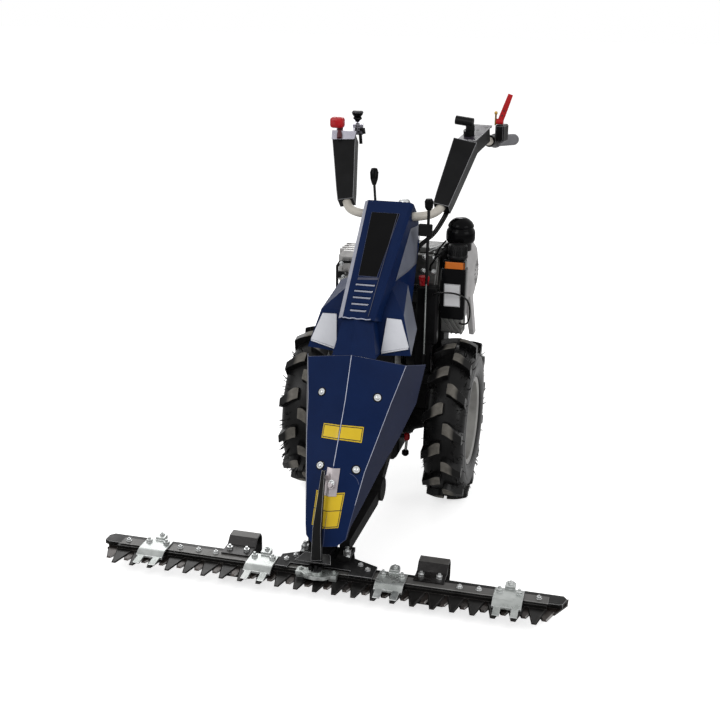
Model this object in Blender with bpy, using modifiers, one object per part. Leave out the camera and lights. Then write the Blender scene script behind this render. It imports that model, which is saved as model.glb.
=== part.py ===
"""Walk-behind motor mower: a two-wheeled tractor unit with a long reciprocating cutter bar in front.

Metres, +Z up. The front of the machine faces -Y and its right-hand side in that view is +X. Heights start at
the ground. While it is built, y = 0 is the wheel axle; the last step centres the whole machine on the origin.
"""

import math

import bmesh
import bpy
from mathutils import Euler, Matrix, Vector

# Clearances
FIT = 0.0003
RUN = 0.0005

# Cutter bar
PITCH = 0.0508
TOOTH_GAP = 0.0028
BAR_HALF = 0.632
BAR_END = 0.020
SIDE_TEETH = int((BAR_HALF - BAR_END + TOOTH_GAP / 2) / PITCH - 1.05)
KNIFE_TEETH = 2 * SIDE_TEETH + 1
TIP_Y = -0.790
TOOTH_ROOT_Y = -0.7165
TOOTH_TIP_HALF = 0.0060
TOOTH_ROOT_HALF = (PITCH - TOOTH_GAP) / 2
BEVEL_RUN = 0.0045
KNIFE_Z = 0.0498
KNIFE_THICK = 0.0028
KNIFE_BACK_Y = -0.7010
KNIFE_BACK_TOP = 0.0615
LOWER_TIP_Y = -0.762
LOWER_SHIFT = 0.45 * PITCH
LOWER_Z = 0.0455
BAR_REAR_Y = -0.655
BAR_TOP = 0.0618
RAIL_THICK = 0.0030
RAIL_WIDTH = 0.034
RAIL_Y = -0.691
RAIL_END = 0.051
CLAMP_CENTRES = (-BAR_HALF + 0.157, -0.171, 0.182, BAR_HALF - 0.147)
CLAMP_WIDTH = 0.075
SKID_CENTRES = (-0.2505, 0.277)
SKID_WIDTH = 0.080

# Knife drive
HEAD_X = -0.012
PIN_Y = -0.728
PIN_RADIUS = 0.0085
LEVER_AXIS_Y = -0.600
LEVER_Z = 0.083
LEVER_THICK = 0.012
PLATE_TOP = 0.0715
POST_SPAN = 0.058

# Wheels
TYRE_RADIUS = 0.250
TYRE_WIDTH = 0.124
LUG_HEIGHT = 0.019
TREAD_RADIUS = TYRE_RADIUS - LUG_HEIGHT
WHEEL_X = 0.2184
RIM_RADIUS = 0.1275
LUGS_PER_SIDE = 13
WHEEL_NUTS = 5
NUT_CIRCLE = 0.070

# Tractor unit
GEARBOX_HALF = 0.070
AXLE_TUBE_END = 0.148
DECK_TOP = 0.410
CASE_SIZE = (0.180, 0.120, 0.185)
CASE_FRONT = 0.108
MUFFLER_SIZE = (0.080, 0.150, 0.104)
MUFFLER_AT = (-0.118, 0.060, 0.704)
FAN_X = 0.190
FAN_Y = 0.140
FAN_Z = 0.685
FAN_RADIUS = 0.105
TANK_X = 0.2055
TANK_FRONT_Y = -0.062
TANK_SIZE = (0.073, 0.048, 0.155)
TANK_Z = 0.6625

# Handlebar: its right half from the middle to the grip, and the control plate on the right
TUBE_RADIUS = 0.0130
HANDLE_Y = -0.030
HANDLE_Z = 0.879
RISE = (
    (0.000, HANDLE_Y, HANDLE_Z), (0.045, HANDLE_Y, HANDLE_Z), (0.065, HANDLE_Y, HANDLE_Z),
    (0.098, -0.022, 0.881), (0.127, 0.005, 0.886), (0.1455, 0.040, 0.902), (0.158, 0.083, 0.950),
    (0.172, 0.127, 1.005), (0.186, 0.168, 1.050), (0.200, 0.215, 1.070), (0.216, 0.280, 1.070),
    (0.232, 0.340, 1.0585),
)
GRIP_START = Vector((0.2455, 0.400, 1.053))
GRIP_END = Vector((0.2850, 0.590, 1.035))
GRIP_RUN = (GRIP_END - GRIP_START).normalized()
PLATE_AT = (0.2045, 0.2380, 1.0960)
PLATE_RUN = (0.028, 0.132, 0.030)
PLATE_HALF = 0.030
PLATE_THICK = 0.003

# Upper hood: each edge of its ridge runs from the top to the end above the lower hood
RIDGE_TOP = (0.0635, -0.022, 0.919)
RIDGE_END = (0.0375, -0.397, 0.668)
STRIP_TOP = (0.0735, -0.0195, 0.9135)
STRIP_END = (0.0500, -0.392, 0.6620)
FACET_TOP = (0.0790, 0.005, 0.884)
FACET_END = (0.0600, -0.320, 0.640)
FLANK_TOP = (0.0860, 0.030, 0.822)
FLANK_END = (0.1080, -0.230, 0.560)
LOUVRES = 5
LOUVRE_STEP = 0.052
LOUVRE_SLOT = 0.0050
WINDOW = ((0.111, 0.0425), (0.668, 0.027))
LAMP_Y = -0.327
LAMP_Z = 0.668
LAMP_SLOPE = -0.30
CHEEK_REAR_Y = -0.190
CHEEK_FRONT = ((0.030, 0.668), (0.117, 0.666), (0.147, 0.562), (0.030, 0.554))
CHEEK_REAR = ((0.030, 0.745), (0.098, 0.716), (0.128, 0.588), (0.030, 0.575))
LAMP_FACE = ((0.071, 0.656), (0.112, 0.655), (0.1395, 0.584), (0.063, 0.566))
NECK_TOP = ((0, -0.392, 0.672), (0.040, -0.3708, 0.672))
NECK_END = ((0, -0.440, 0.577), (0.061, -0.4150, 0.5621))
NECK_REAR_Y = -0.290

# Lower hood: rows from its top edge down, each from the middle crease to the side edge
NOSE = (
    ((0.0, -0.440, 0.5765), (0.140, -0.384, 0.542), (0.1735, -0.275, 0.512)),
    ((0.0, -0.500, 0.469), (0.116, -0.458, 0.455), (0.160, -0.330, 0.413)),
    ((0.0, -0.558, 0.393), (0.098, -0.532, 0.380), (0.134, -0.420, 0.345)),
    ((0.0, -0.612, 0.325), (0.080, -0.594, 0.309), (0.104, -0.520, 0.283)),
    ((0.0, -0.660, 0.240), (0.067, -0.640, 0.233), (0.080, -0.600, 0.222)),
    ((0.0, -0.696, 0.178), (0.0585, -0.672, 0.180), (0.061, -0.660, 0.178)),
    ((0.0, -0.703, 0.150), (0.0540, -0.682, 0.152), (0.0550, -0.674, 0.152)),
    ((0.0, -0.7085, 0.1375), (0.0330, -0.6975, 0.1375), (0.0345, -0.6925, 0.1380)),
)
SHEET = 0.0026

COLOURS = {
    "blue": ((0.010, 0.022, 0.090), 0.35, 0.0),
    "black": ((0.012, 0.012, 0.013), 0.45, 0.0),
    "gloss": ((0.006, 0.006, 0.007), 0.12, 0.0),
    "rubber": ((0.020, 0.020, 0.020), 0.80, 0.0),
    "dark_steel": ((0.035, 0.035, 0.038), 0.40, 0.8),
    "zinc": ((0.62, 0.63, 0.62), 0.35, 0.9),
    "grey_paint": ((0.50, 0.50, 0.48), 0.45, 0.0),
    "pale": ((0.62, 0.63, 0.64), 0.40, 0.0),
    "cast": ((0.42, 0.42, 0.41), 0.50, 0.7),
    "red": ((0.55, 0.010, 0.012), 0.35, 0.0),
    "grip": ((0.16, 0.16, 0.17), 0.75, 0.0),
}


def clear_scene():
    for obj in list(bpy.data.objects):
        bpy.data.objects.remove(obj, do_unlink=True)


def new_collection(name):
    found = bpy.data.collections.new(name)
    bpy.context.scene.collection.children.link(found)
    return found


clear_scene()
MACHINE = new_collection("motor_mower")
TOOLS = new_collection("cutters")


def material(name):
    found = bpy.data.materials.get(name)
    if found:
        return found
    colour, rough, metal = COLOURS[name]
    found = bpy.data.materials.new(name)
    found.use_nodes = True
    shader = found.node_tree.nodes["Principled BSDF"]
    shader.inputs["Base Color"].default_value = (*colour, 1.0)
    shader.inputs["Roughness"].default_value = rough
    shader.inputs["Metallic"].default_value = metal
    found.diffuse_color = (*colour, 1.0)
    return found


# Shape helpers: each gives a closed mesh in machine coordinates


def from_bmesh(mesh_data):
    bmesh.ops.recalc_face_normals(mesh_data, faces=mesh_data.faces)
    mesh = bpy.data.meshes.new("shape")
    mesh_data.to_mesh(mesh)
    mesh_data.free()
    obj = bpy.data.objects.new("shape", mesh)
    TOOLS.objects.link(obj)
    obj.hide_render = True
    obj.display_type = "WIRE"
    return obj


def placed(mesh_data, at, turn):
    matrix = Matrix.Translation(Vector(at)) @ Euler(turn).to_matrix().to_4x4()
    bmesh.ops.transform(mesh_data, matrix=matrix, verts=mesh_data.verts)
    return from_bmesh(mesh_data)


def block(size, at, turn=(0, 0, 0), edge=0.0, rounds=1):
    data = bmesh.new()
    bmesh.ops.create_cube(data, size=1.0)
    bmesh.ops.scale(data, vec=size, verts=data.verts)
    if edge:
        bmesh.ops.bevel(data, geom=data.edges[:], offset=edge, segments=rounds, affect="EDGES", profile=0.5)
    return placed(data, at, turn)


AXIS_TURN = {"X": (0, math.pi / 2, 0), "Y": (-math.pi / 2, 0, 0), "Z": (0, 0, 0)}


def rod(radius, length, at, turn="Z", steps=16, end_radius=None):
    data = bmesh.new()
    top = radius if end_radius is None else end_radius
    bmesh.ops.create_cone(data, cap_ends=True, segments=steps, radius1=radius, radius2=top, depth=length)
    return placed(data, at, AXIS_TURN.get(turn, turn) if isinstance(turn, str) else turn)


def baked(obj):
    """The evaluated mesh of an object as a plain mesh object, with its place in the points."""
    bpy.context.view_layer.update()
    graph = bpy.context.evaluated_depsgraph_get()
    mesh = bpy.data.meshes.new_from_object(obj.evaluated_get(graph))
    matrix = obj.matrix_world.copy()
    bpy.data.objects.remove(obj, do_unlink=True)
    data = bmesh.new()
    data.from_mesh(mesh)
    bpy.data.meshes.remove(mesh)
    bmesh.ops.transform(data, matrix=matrix, verts=data.verts)
    bmesh.ops.remove_doubles(data, verts=data.verts, dist=1e-6)
    return from_bmesh(data)


def turned(profile, at, turn="Z", steps=24):
    """Profile of (radius, height) pairs spun about its own Z axis."""
    mesh = bpy.data.meshes.new("profile")
    points = [(radius, 0.0, height) for radius, height in profile]
    edges = [(i, i + 1) for i in range(len(points) - 1)]
    if profile[0][0] > 1e-6:
        edges.append((len(points) - 1, 0))
    mesh.from_pydata(points, edges, [])
    obj = bpy.data.objects.new("profile", mesh)
    TOOLS.objects.link(obj)
    obj.rotation_euler = AXIS_TURN.get(turn, turn) if isinstance(turn, str) else turn
    obj.location = at
    spin = obj.modifiers.new("spin", "SCREW")
    spin.steps = steps
    spin.render_steps = steps
    spin.use_merge_vertices = True
    spin.merge_threshold = 0.00002
    return baked(obj)


def smooth_path(corners, count):
    """Points along a smooth line through the corners."""
    ends = [2 * Vector(corners[0]) - Vector(corners[1])]
    ends += [Vector(point) for point in corners]
    ends.append(2 * Vector(corners[-1]) - Vector(corners[-2]))
    found = []
    for i in range(1, len(ends) - 2):
        a, b, c, d = ends[i - 1:i + 3]
        for step in range(count):
            t = step / count
            found.append(
                0.5 * ((2 * b) + (c - a) * t + (2 * a - 5 * b + 4 * c - d) * t ** 2
                       + (3 * b - a - 3 * c + d) * t ** 3)
            )
    found.append(ends[-2])
    return found


def tube(points, radius, rounds=2):
    data = bpy.data.curves.new("tube", "CURVE")
    data.dimensions = "3D"
    data.bevel_depth = radius
    data.bevel_resolution = rounds
    data.use_fill_caps = True
    line = data.splines.new("POLY")
    line.points.add(len(points) - 1)
    for slot, point in zip(line.points, points):
        slot.co = (*point, 1.0)
    obj = bpy.data.objects.new("tube", data)
    TOOLS.objects.link(obj)
    return baked(obj)


def between(low, high):
    """Closed solid between two outlines that have the same number of points."""
    data = bmesh.new()
    first = [data.verts.new(point) for point in low]
    second = [data.verts.new(point) for point in high]
    data.faces.new(first)
    data.faces.new(second)
    for i in range(len(first)):
        j = (i + 1) % len(first)
        data.faces.new((first[i], first[j], second[j], second[i]))
    return from_bmesh(data)


def plate(outline, low, high):
    """Flat outline in x and y, filled between two heights."""
    return between([(x, y, low) for x, y in outline], [(x, y, high) for x, y in outline])


def side_plate(outline, left, right):
    """Flat outline in y and z, filled between two widths."""
    return between([(left, y, z) for y, z in outline], [(right, y, z) for y, z in outline])


def loft(rows):
    """Closed solid through outlines that all have the same number of points.

    A twisted side is folded along the diagonal that ends farther from the middle plane, so that both halves
    of the machine, and a shell's outside and inside, fold the same way.
    """
    data = bmesh.new()
    loops = [[data.verts.new(point) for point in row] for row in rows]
    data.faces.new(loops[0])
    data.faces.new(loops[-1])
    for first, second in zip(loops, loops[1:]):
        for i in range(len(first)):
            j = (i + 1) % len(first)
            a, b, c, d = first[i], first[j], second[j], second[i]
            normal = (b.co - a.co).cross(c.co - a.co).normalized()
            if abs(normal.dot(d.co - a.co)) < 1e-6:
                data.faces.new((a, b, c, d))
            elif abs(a.co.x) + abs(c.co.x) > abs(b.co.x) + abs(d.co.x):
                data.faces.new((a, b, c))
                data.faces.new((a, c, d))
            else:
                data.faces.new((a, b, d))
                data.faces.new((b, c, d))
    return from_bmesh(data)


def merged(pieces):
    data = bmesh.new()
    for piece in pieces:
        data.from_mesh(piece.data)
        bpy.data.objects.remove(piece, do_unlink=True)
    return from_bmesh(data)


def joined(base, add=(), cut=(), within=()):
    """One body: the base with pieces added, then pieces cut away, then only what lies within others."""
    helpers = []
    for operation, pieces in (("UNION", add), ("DIFFERENCE", cut), ("INTERSECT", within)):
        for piece in pieces:
            change = base.modifiers.new(operation.lower(), "BOOLEAN")
            change.operation = operation
            change.solver = "EXACT"
            change.object = piece
            helpers.append(piece)
    result = baked(base)
    for piece in helpers:
        bpy.data.objects.remove(piece, do_unlink=True)
    return result


def node(name, colour, shape, origin=(0, 0, 0), smooth=False):
    """Turns a shape into a named part whose origin lies at the given point."""
    mesh = shape.data
    mesh.transform(Matrix.Translation(-Vector(origin)))
    mesh.name = name
    mesh.materials.clear()
    mesh.materials.append(material(colour))
    if smooth:
        mesh.shade_smooth()
        mesh.set_sharp_from_angle(angle=math.radians(40))
    obj = bpy.data.objects.new(name, mesh)
    obj.location = origin
    MACHINE.objects.link(obj)
    bpy.data.objects.remove(shape, do_unlink=True)
    return obj


def mirrored(points):
    return [(-x, y, z) for x, y, z in reversed(points)]


def handle_points():
    """Middle line of the whole handlebar, from one grip to the other."""
    right = [Vector(point) for point in RISE] + [GRIP_START, GRIP_END - GRIP_RUN * 0.006]
    left = [Vector((-point.x, point.y, point.z)) for point in reversed(right[1:])]
    return smooth_path(left + right, 2)


def hexagon(across, height, at, turn="Z"):
    return rod(across / math.sqrt(3), height, at, turn, steps=6)


# Cutter bar


def tooth_centres(count, shift):
    return [(i - (count - 1) / 2) * PITCH + shift for i in range(count)]


def blade_rows(centres, tip_y, left, right, rear_y, low, high):
    """Solid blade whose teeth are ground to an edge along their top face."""
    lower = []
    upper = []
    for centre in centres:
        for side, y, grow in ((-1, TOOTH_ROOT_Y, 0), (-1, tip_y, 1), (1, tip_y, 1), (1, TOOTH_ROOT_Y, 0)):
            half = TOOTH_TIP_HALF if grow else TOOTH_ROOT_HALF
            lower.append((centre + side * half, y, low))
            inset = BEVEL_RUN if grow else BEVEL_RUN * 0.9
            upper.append((centre + side * (half - (0.0025 if grow else inset)),
                y + (0.003 if grow else 0), high))
    ends = [(right, TOOTH_ROOT_Y), (right, rear_y), (left, rear_y), (left, TOOTH_ROOT_Y)]
    lower += [(x, y, low) for x, y in ends]
    upper += [(x, y, high) for x, y in ends]
    return between(lower, upper)


def build_cutter_bar():
    knife_centres = tooth_centres(KNIFE_TEETH, 0.0)
    knife_half = knife_centres[-1] + PITCH / 2 - 0.001
    knife = blade_rows(
        knife_centres, TIP_Y, -knife_half, knife_half, KNIFE_BACK_Y, KNIFE_Z, KNIFE_Z + KNIFE_THICK
    )
    back_depth = KNIFE_BACK_Y - TOOTH_ROOT_Y - 0.001
    back = block(
        (2 * knife_half - 0.002, back_depth, KNIFE_BACK_TOP - KNIFE_Z - 0.001),
        (0, KNIFE_BACK_Y - back_depth / 2 - 0.0003, (KNIFE_BACK_TOP + KNIFE_Z + 0.001) / 2),
    )
    node("knife", "dark_steel", joined(knife, [back]), (0, KNIFE_BACK_Y, KNIFE_Z))

    lower_centres = tooth_centres(KNIFE_TEETH + 1, LOWER_SHIFT - PITCH / 2)
    lower_top = KNIFE_Z - FIT
    comb = blade_rows(
        lower_centres, LOWER_TIP_Y, -BAR_HALF + BAR_END, BAR_HALF - BAR_END - 0.004, BAR_REAR_Y, LOWER_Z, lower_top
    )
    right_end = plate(
        (
            (BAR_HALF - 0.030, BAR_REAR_Y), (BAR_HALF - 0.030, TOOTH_ROOT_Y - 0.008),
            (BAR_HALF - 0.046, TOOTH_ROOT_Y - 0.008), (BAR_HALF - 0.046, TOOTH_ROOT_Y - 0.010),
            (BAR_HALF - 0.028, TOOTH_ROOT_Y - 0.010), (BAR_HALF, BAR_REAR_Y - 0.018),
            (BAR_HALF, BAR_REAR_Y + 0.010),
            (BAR_HALF - 0.010, BAR_REAR_Y),
        ),
        LOWER_Z - 0.001, lower_top,
    )
    left_end = plate(
        (
            (-BAR_HALF + 0.030, BAR_REAR_Y), (-BAR_HALF + 0.010, BAR_REAR_Y),
            (-BAR_HALF + 0.002, BAR_REAR_Y - 0.008),
            (-BAR_HALF, BAR_REAR_Y - 0.020), (-BAR_HALF + 0.026, TOOTH_ROOT_Y + 0.002),
            (-BAR_HALF + 0.030, TOOTH_ROOT_Y + 0.003),
        ),
        LOWER_Z - 0.001, lower_top,
    )
    node("lower_blade", "dark_steel", joined(comb, [right_end, left_end]))

    bar_front = KNIFE_BACK_Y + RUN
    bar = plate(
        (
            (-BAR_HALF + 0.004, bar_front + 0.006), (-BAR_HALF + 0.004, BAR_REAR_Y - 0.012),
            (-BAR_HALF + 0.016, BAR_REAR_Y), (BAR_HALF - 0.012, BAR_REAR_Y),
            (BAR_HALF - 0.003, BAR_REAR_Y - 0.012),
            (BAR_HALF - 0.012, bar_front + 0.004), (BAR_HALF - 0.020, bar_front),
            (-BAR_HALF + 0.020, bar_front),
        ),
        KNIFE_Z, BAR_TOP,
    )
    node("back_bar", "dark_steel", bar)

    rail_low = BAR_TOP + FIT
    rail_top = rail_low + RAIL_THICK
    rail = block(
        (2 * (BAR_HALF - RAIL_END), RAIL_WIDTH, RAIL_THICK), (0.004, RAIL_Y, (rail_low + rail_top) / 2)
    )
    node("wear_rail", "grey_paint", rail)
    return rail_top


RAIL_TOP = build_cutter_bar()


def bolt_on(x, y, low, across=0.015, height=0.007, stud=0.006):
    head = hexagon(across, height + 0.001, (x, y, low + height / 2 - 0.0005))
    end = rod(across * 0.28, stud + 0.002, (x, y, low + height + stud / 2 - 0.001), steps=6)
    return joined(head, [end])


def build_clamps():
    low = RAIL_TOP + FIT
    thick = 0.004
    ridge_y = -0.728
    press_z = KNIFE_Z + KNIFE_THICK + RUN
    for number, centre in enumerate(CLAMP_CENTRES, 1):
        profile = (
            (-0.668, low), (-0.668, low + thick), (ridge_y + 0.004, low + thick + 0.001),
            (ridge_y - 0.006, low + thick - 0.002), (ridge_y - 0.018, press_z + 0.0075),
            (TIP_Y + 0.008, press_z + 0.003),
            (TIP_Y + 0.008, press_z), (ridge_y - 0.014, press_z), (ridge_y + 0.002, low),
        )
        body = side_plate(profile, centre - CLAMP_WIDTH / 2, centre + CLAMP_WIDTH / 2)
        notch = block((0.026, 0.050, 0.03), (centre, TIP_Y + 0.018, press_z + 0.004))
        ears = [
            block((0.012, 0.050, 0.03), (centre + side * (CLAMP_WIDTH / 2), TIP_Y + 0.018, press_z + 0.004))
            for side in (-1, 1)
        ]
        tongue = plate(
            (
                (centre - 0.013, -0.672), (centre + 0.013, -0.672), (centre + 0.013, -0.650),
                (centre + 0.007, -0.642), (centre - 0.007, -0.642), (centre - 0.013, -0.650),
            ),
            low + 0.0003, low + 0.012,
        )
        bolts = [bolt_on(centre + side * 0.025, -0.686, low + thick) for side in (-1, 1)]
        middle = bolt_on(centre, -0.656, low + 0.0115, across=0.012, height=0.005, stud=0.004)
        shape = joined(body, [tongue, middle, *bolts], [notch, *ears])
        node(f"knife_clamp_{number}", "zinc", shape)


def build_skids():
    low = RAIL_TOP + FIT
    for side, centre in zip(("left", "right"), SKID_CENTRES):
        sheet = (
            (-0.690, low), (-0.690, low + 0.004), (-0.640, low + 0.004), (-0.622, low + 0.022),
            (-0.594, low + 0.024), (-0.583, low + 0.010), (-0.583, 0.040), (-0.597, 0.014), (-0.628, 0.0),
            (-0.690, 0.0), (-0.704, 0.010), (-0.701, 0.013), (-0.688, 0.005), (-0.630, 0.005),
            (-0.601, 0.018), (-0.588, 0.042), (-0.588, low + 0.008), (-0.596, low + 0.0195),
            (-0.620, low + 0.0175), (-0.636, low),
        )
        body = side_plate(sheet, centre - SKID_WIDTH / 2, centre + SKID_WIDTH / 2)
        bolts = [bolt_on(centre + shift, -0.664, low + 0.004) for shift in (-0.024, 0.024)]
        node(f"skid_{side}", "dark_steel", joined(body, bolts))


build_clamps()
build_skids()


# Knife drive


def build_drive():
    low = RAIL_TOP + FIT
    front = -0.7175
    notch_left = HEAD_X - 0.083
    notch_right = HEAD_X + 0.083
    outline = (
        (-0.128, front), (-0.128, -0.655), (-0.085, -0.628), (HEAD_X - 0.066, -0.590),
        (HEAD_X - 0.056, -0.578), (HEAD_X + 0.056, -0.578), (HEAD_X + 0.066, -0.590),
        (0.066, -0.628), (0.134, -0.655), (0.134, front), (notch_right, front), (notch_right, -0.694),
        (notch_left, -0.694), (notch_left, front),
    )
    base = plate(outline, low, PLATE_TOP)
    bolts = [bolt_on(x, y, PLATE_TOP, across=0.013, height=0.005, stud=0.003)
             for x, y in ((-0.108, -0.680), (0.114, -0.680), (0.090, -0.660), (-0.090, -0.655))]
    node("centre_plate", "black", joined(base, bolts))

    head_low = KNIFE_BACK_TOP + FIT
    wave = [
        (-0.055, -0.7092), (-0.055, -0.735), (-0.040, -0.735), (-0.026, -0.748), (0.0, -0.753),
        (0.026, -0.748),
        (0.040, -0.735), (0.055, -0.735), (0.055, -0.7092),
    ]
    bow = plate([(HEAD_X + x, y) for x, y in wave], head_low, head_low + 0.010)
    feet = [
        block((0.020, 0.014, 0.011), (HEAD_X + side * 0.044, -0.7245,
        head_low - 0.0034)) for side in (-1, 1)
    ]
    boss = rod(0.015, 0.012, (HEAD_X, PIN_Y, head_low + 0.010), steps=16)
    pin = rod(PIN_RADIUS, 0.034, (HEAD_X, PIN_Y, head_low + 0.017), steps=12)
    nuts = [bolt_on(HEAD_X + side * 0.044, -0.7175, head_low + 0.010, across=0.011, height=0.004,
        stud=0.002)
            for side in (-1, 1)]
    node("knife_head", "zinc", joined(bow, [*feet, boss, pin, *nuts]), (HEAD_X, PIN_Y, head_low))

    arm = plate(
        (
            (HEAD_X - 0.020, LEVER_AXIS_Y), (HEAD_X - 0.017, PIN_Y - 0.014),
            (HEAD_X + 0.017, PIN_Y - 0.014),
            (HEAD_X + 0.020, LEVER_AXIS_Y),
        ),
        LEVER_Z, LEVER_Z + LEVER_THICK,
    )
    hub = rod(0.022, 0.030, (HEAD_X, LEVER_AXIS_Y, LEVER_Z + 0.015), steps=20)
    shaft = rod(0.010, 0.075, (HEAD_X, LEVER_AXIS_Y, LEVER_Z + 0.060), steps=12)
    slot = block((2 * PIN_RADIUS + 0.0012, 0.034, 0.05), (HEAD_X, PIN_Y - 0.006, LEVER_Z + 0.006))
    lever = joined(arm, [hub, shaft], [slot])
    node("drive_lever", "dark_steel", lever, (HEAD_X, LEVER_AXIS_Y, LEVER_Z))


build_drive()


def hood_stay(side, row, down, across, root):
    """Round arm whose end stands square behind the lower hood, where the hood is bolted to it."""
    corners = [Vector(NOSE[row + i][j]) for i, j in ((0, 0), (0, 1), (1, 1), (1, 0))]
    upper = corners[0].lerp(corners[1], across)
    lower = corners[3].lerp(corners[2], across)
    point = upper.lerp(lower, down)
    out = (corners[2] - corners[0]).cross(corners[3] - corners[1]).normalized()
    out = out if out.y < 0 else -out
    line = [Vector(root), point - out * 0.030, point - out * (SHEET + 4 * FIT)]
    return tube([(side * p.x, p.y, p.z) for p in line], 0.0070, 1)


def build_carrier():
    """Arm from the gearbox flange down to the centre plate; its foot straddles the drive lever."""
    low = PLATE_TOP + FIT
    bridge_low = LEVER_Z + 0.030 + 0.0015
    bridge_top = bridge_low + 0.040
    bridge = block((0.096, 0.090, bridge_top - bridge_low),
        (HEAD_X, -0.590, (bridge_top + bridge_low) / 2), edge=0.006)
    legs = [
        block((0.020, 0.056, bridge_low - low + 0.006),
        (HEAD_X + side * 0.040, -0.575, (bridge_low + low) / 2 + 0.003))
        for side in (-1, 1)
    ]
    pads = [
        block((0.034, 0.060, 0.012), (HEAD_X + side * (POST_SPAN - 0.006), -0.620,
        low + 0.006)) for side in (-1, 1)
    ]
    studs = [
        bolt_on(HEAD_X + side * POST_SPAN, -0.636, low + 0.0115, across=0.019, height=0.014, stud=0.010)
        for side in (-1, 1)
    ]
    neck = loft(
        [
            [(HEAD_X + x, -0.560, z) for x,
            z in ((-0.040, 0.118), (0.040, 0.118), (0.040, 0.150), (-0.040, 0.150))],
            [(HEAD_X * 0.6 + x, -0.490, z) for x,
            z in ((-0.034, 0.135), (0.034, 0.135), (0.034, 0.185), (-0.034, 0.185))],
            [(x, -0.330, z) for x, z in ((-0.045, 0.200), (0.045, 0.200), (0.045, 0.290), (-0.045, 0.290))],
            [(x, -0.180, z) for x, z in ((-0.050, 0.235), (0.050, 0.235), (0.050, 0.325), (-0.050, 0.325))],
        ]
    )
    arms = []
    for side in (-1, 1):
        rows = []
        for x, y, z, half_x, half_z in (
            (0.044, -0.610, 0.095, 0.014, 0.016), (0.062, -0.420, 0.152, 0.015, 0.019),
            (0.050, -0.185, 0.240, 0.018, 0.022),
        ):
            centre = side * x + (HEAD_X if y < -0.5 else 0.0)
            rows.append(
                [(centre - half_x, y, z - half_z), (centre + half_x, y, z - half_z),
                 (centre + half_x, y, z + half_z), (centre - half_x, y, z + half_z)]
            )
        arms.append(loft(rows))
        arms.append(rod(0.034, 0.036, (side * 0.066, -0.385, 0.166), "X", steps=14))
    flange = rod(0.075, 0.014, (0, -0.1775, 0.280), "Y", steps=24)
    bore = rod(0.010 + RUN, 0.100, (HEAD_X, LEVER_AXIS_Y, bridge_low + 0.029), steps=12)
    stays = []
    for side in (-1, 1):
        stays.append(hood_stay(side, 0, 0.92, 0.66, (0.030, -0.290, 0.285)))
        stays.append(hood_stay(side, 3, 0.30, 0.65, (0.025, -0.440, 0.200)))
    shape = joined(bridge, [*legs, *pads, *studs, neck, *arms, flange, *stays], [bore])
    node("bar_carrier", "black", shape)


build_carrier()


STRAP_MIDDLE = (0.0, -0.714, 0.190)
STRAP_TOP = (0.0, -0.640, 0.322)
STRAP_THICK = 0.004


def strap_row(at, corners):
    return [(x, at[1] + depth, at[2]) for x, depth in corners]


def build_guard():
    top_z = 0.1085
    cover_x = HEAD_X - 0.006
    cover_low = 0.1050
    rear = -0.694
    front = -0.742
    lid = plate(
        ((cover_x - 0.034, rear), (cover_x - 0.048, front), (cover_x + 0.048, front),
        (cover_x + 0.034, rear)),
        cover_low, top_z,
    )
    strap = loft(
        [
            [(-0.024, -0.736, 0.1065), (-0.024, -0.732, 0.1065), (0.003, -0.722, 0.1065),
            (0.001, -0.730, 0.1065)],
            strap_row(STRAP_MIDDLE, ((-0.026, 0), (-0.026, STRAP_THICK), (-0.001, STRAP_THICK),
            (-0.003, -0.008))),
            strap_row(STRAP_TOP, ((-0.0235, 0), (-0.0235, STRAP_THICK), (-0.0140, STRAP_THICK),
            (-0.0150, -0.005))),
        ]
    )
    node("guard_strap", "black", joined(lid, [strap]))


build_guard()


# Hoods


def sheet(rows, thick, offset=-1):
    """Thin closed shell over a grid of points."""
    data = bmesh.new()
    grid = [[data.verts.new(point) for point in row] for row in rows]
    for upper, lower in zip(grid, grid[1:]):
        for i in range(len(upper) - 1):
            data.faces.new((upper[i], lower[i], lower[i + 1], upper[i + 1]))
    mesh = bpy.data.meshes.new("sheet")
    data.to_mesh(mesh)
    data.free()
    obj = bpy.data.objects.new("sheet", mesh)
    TOOLS.objects.link(obj)
    solid = obj.modifiers.new("thickness", "SOLIDIFY")
    solid.thickness = thick
    solid.offset = offset
    solid.use_even_offset = True
    return baked(obj)


def build_lower_hood():
    node("lower_hood", "blue", sheet([mirrored(row[1:]) + list(row) for row in NOSE], SHEET))


def on_ridge(along):
    """Height and depth of the ridge face at a share of its length."""
    return [low + (high - low) * along for low, high in zip(RIDGE_TOP[1:], RIDGE_END[1:])]


def ridge_row(along, inset=0.0):
    """Half outline of the ridge at a share of its length: edges of its face, strip, facet and flank."""
    face = Vector(RIDGE_TOP).lerp(Vector(RIDGE_END), along)
    strip = Vector(STRIP_TOP).lerp(Vector(STRIP_END), along)
    facet = Vector(FACET_TOP).lerp(Vector(FACET_END), along)
    flank = Vector(FLANK_TOP).lerp(Vector(FLANK_END), along)
    if inset:
        face += Vector((-inset * 0.4, inset * 0.6, -inset))
        strip += Vector((-inset, inset * 0.6, -inset))
        facet += Vector((-inset, inset * 0.6, -inset * 0.6))
        flank += Vector((-inset, inset * 4, -inset * 4))
    return [tuple(face), tuple(strip), tuple(facet), tuple(flank)]


def closed_row(half):
    return list(half) + mirrored(half)


def cheek(side):
    """Box beside the ridge that carries a lamp panel."""
    rows = []
    for y0, slope, outline in ((LAMP_Y, LAMP_SLOPE, CHEEK_FRONT), (CHEEK_REAR_Y, 0.0, CHEEK_REAR)):
        rows.append([(side * x, y0 + slope * (LAMP_Z - z), z) for x, z in outline])
    return loft(rows)


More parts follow.
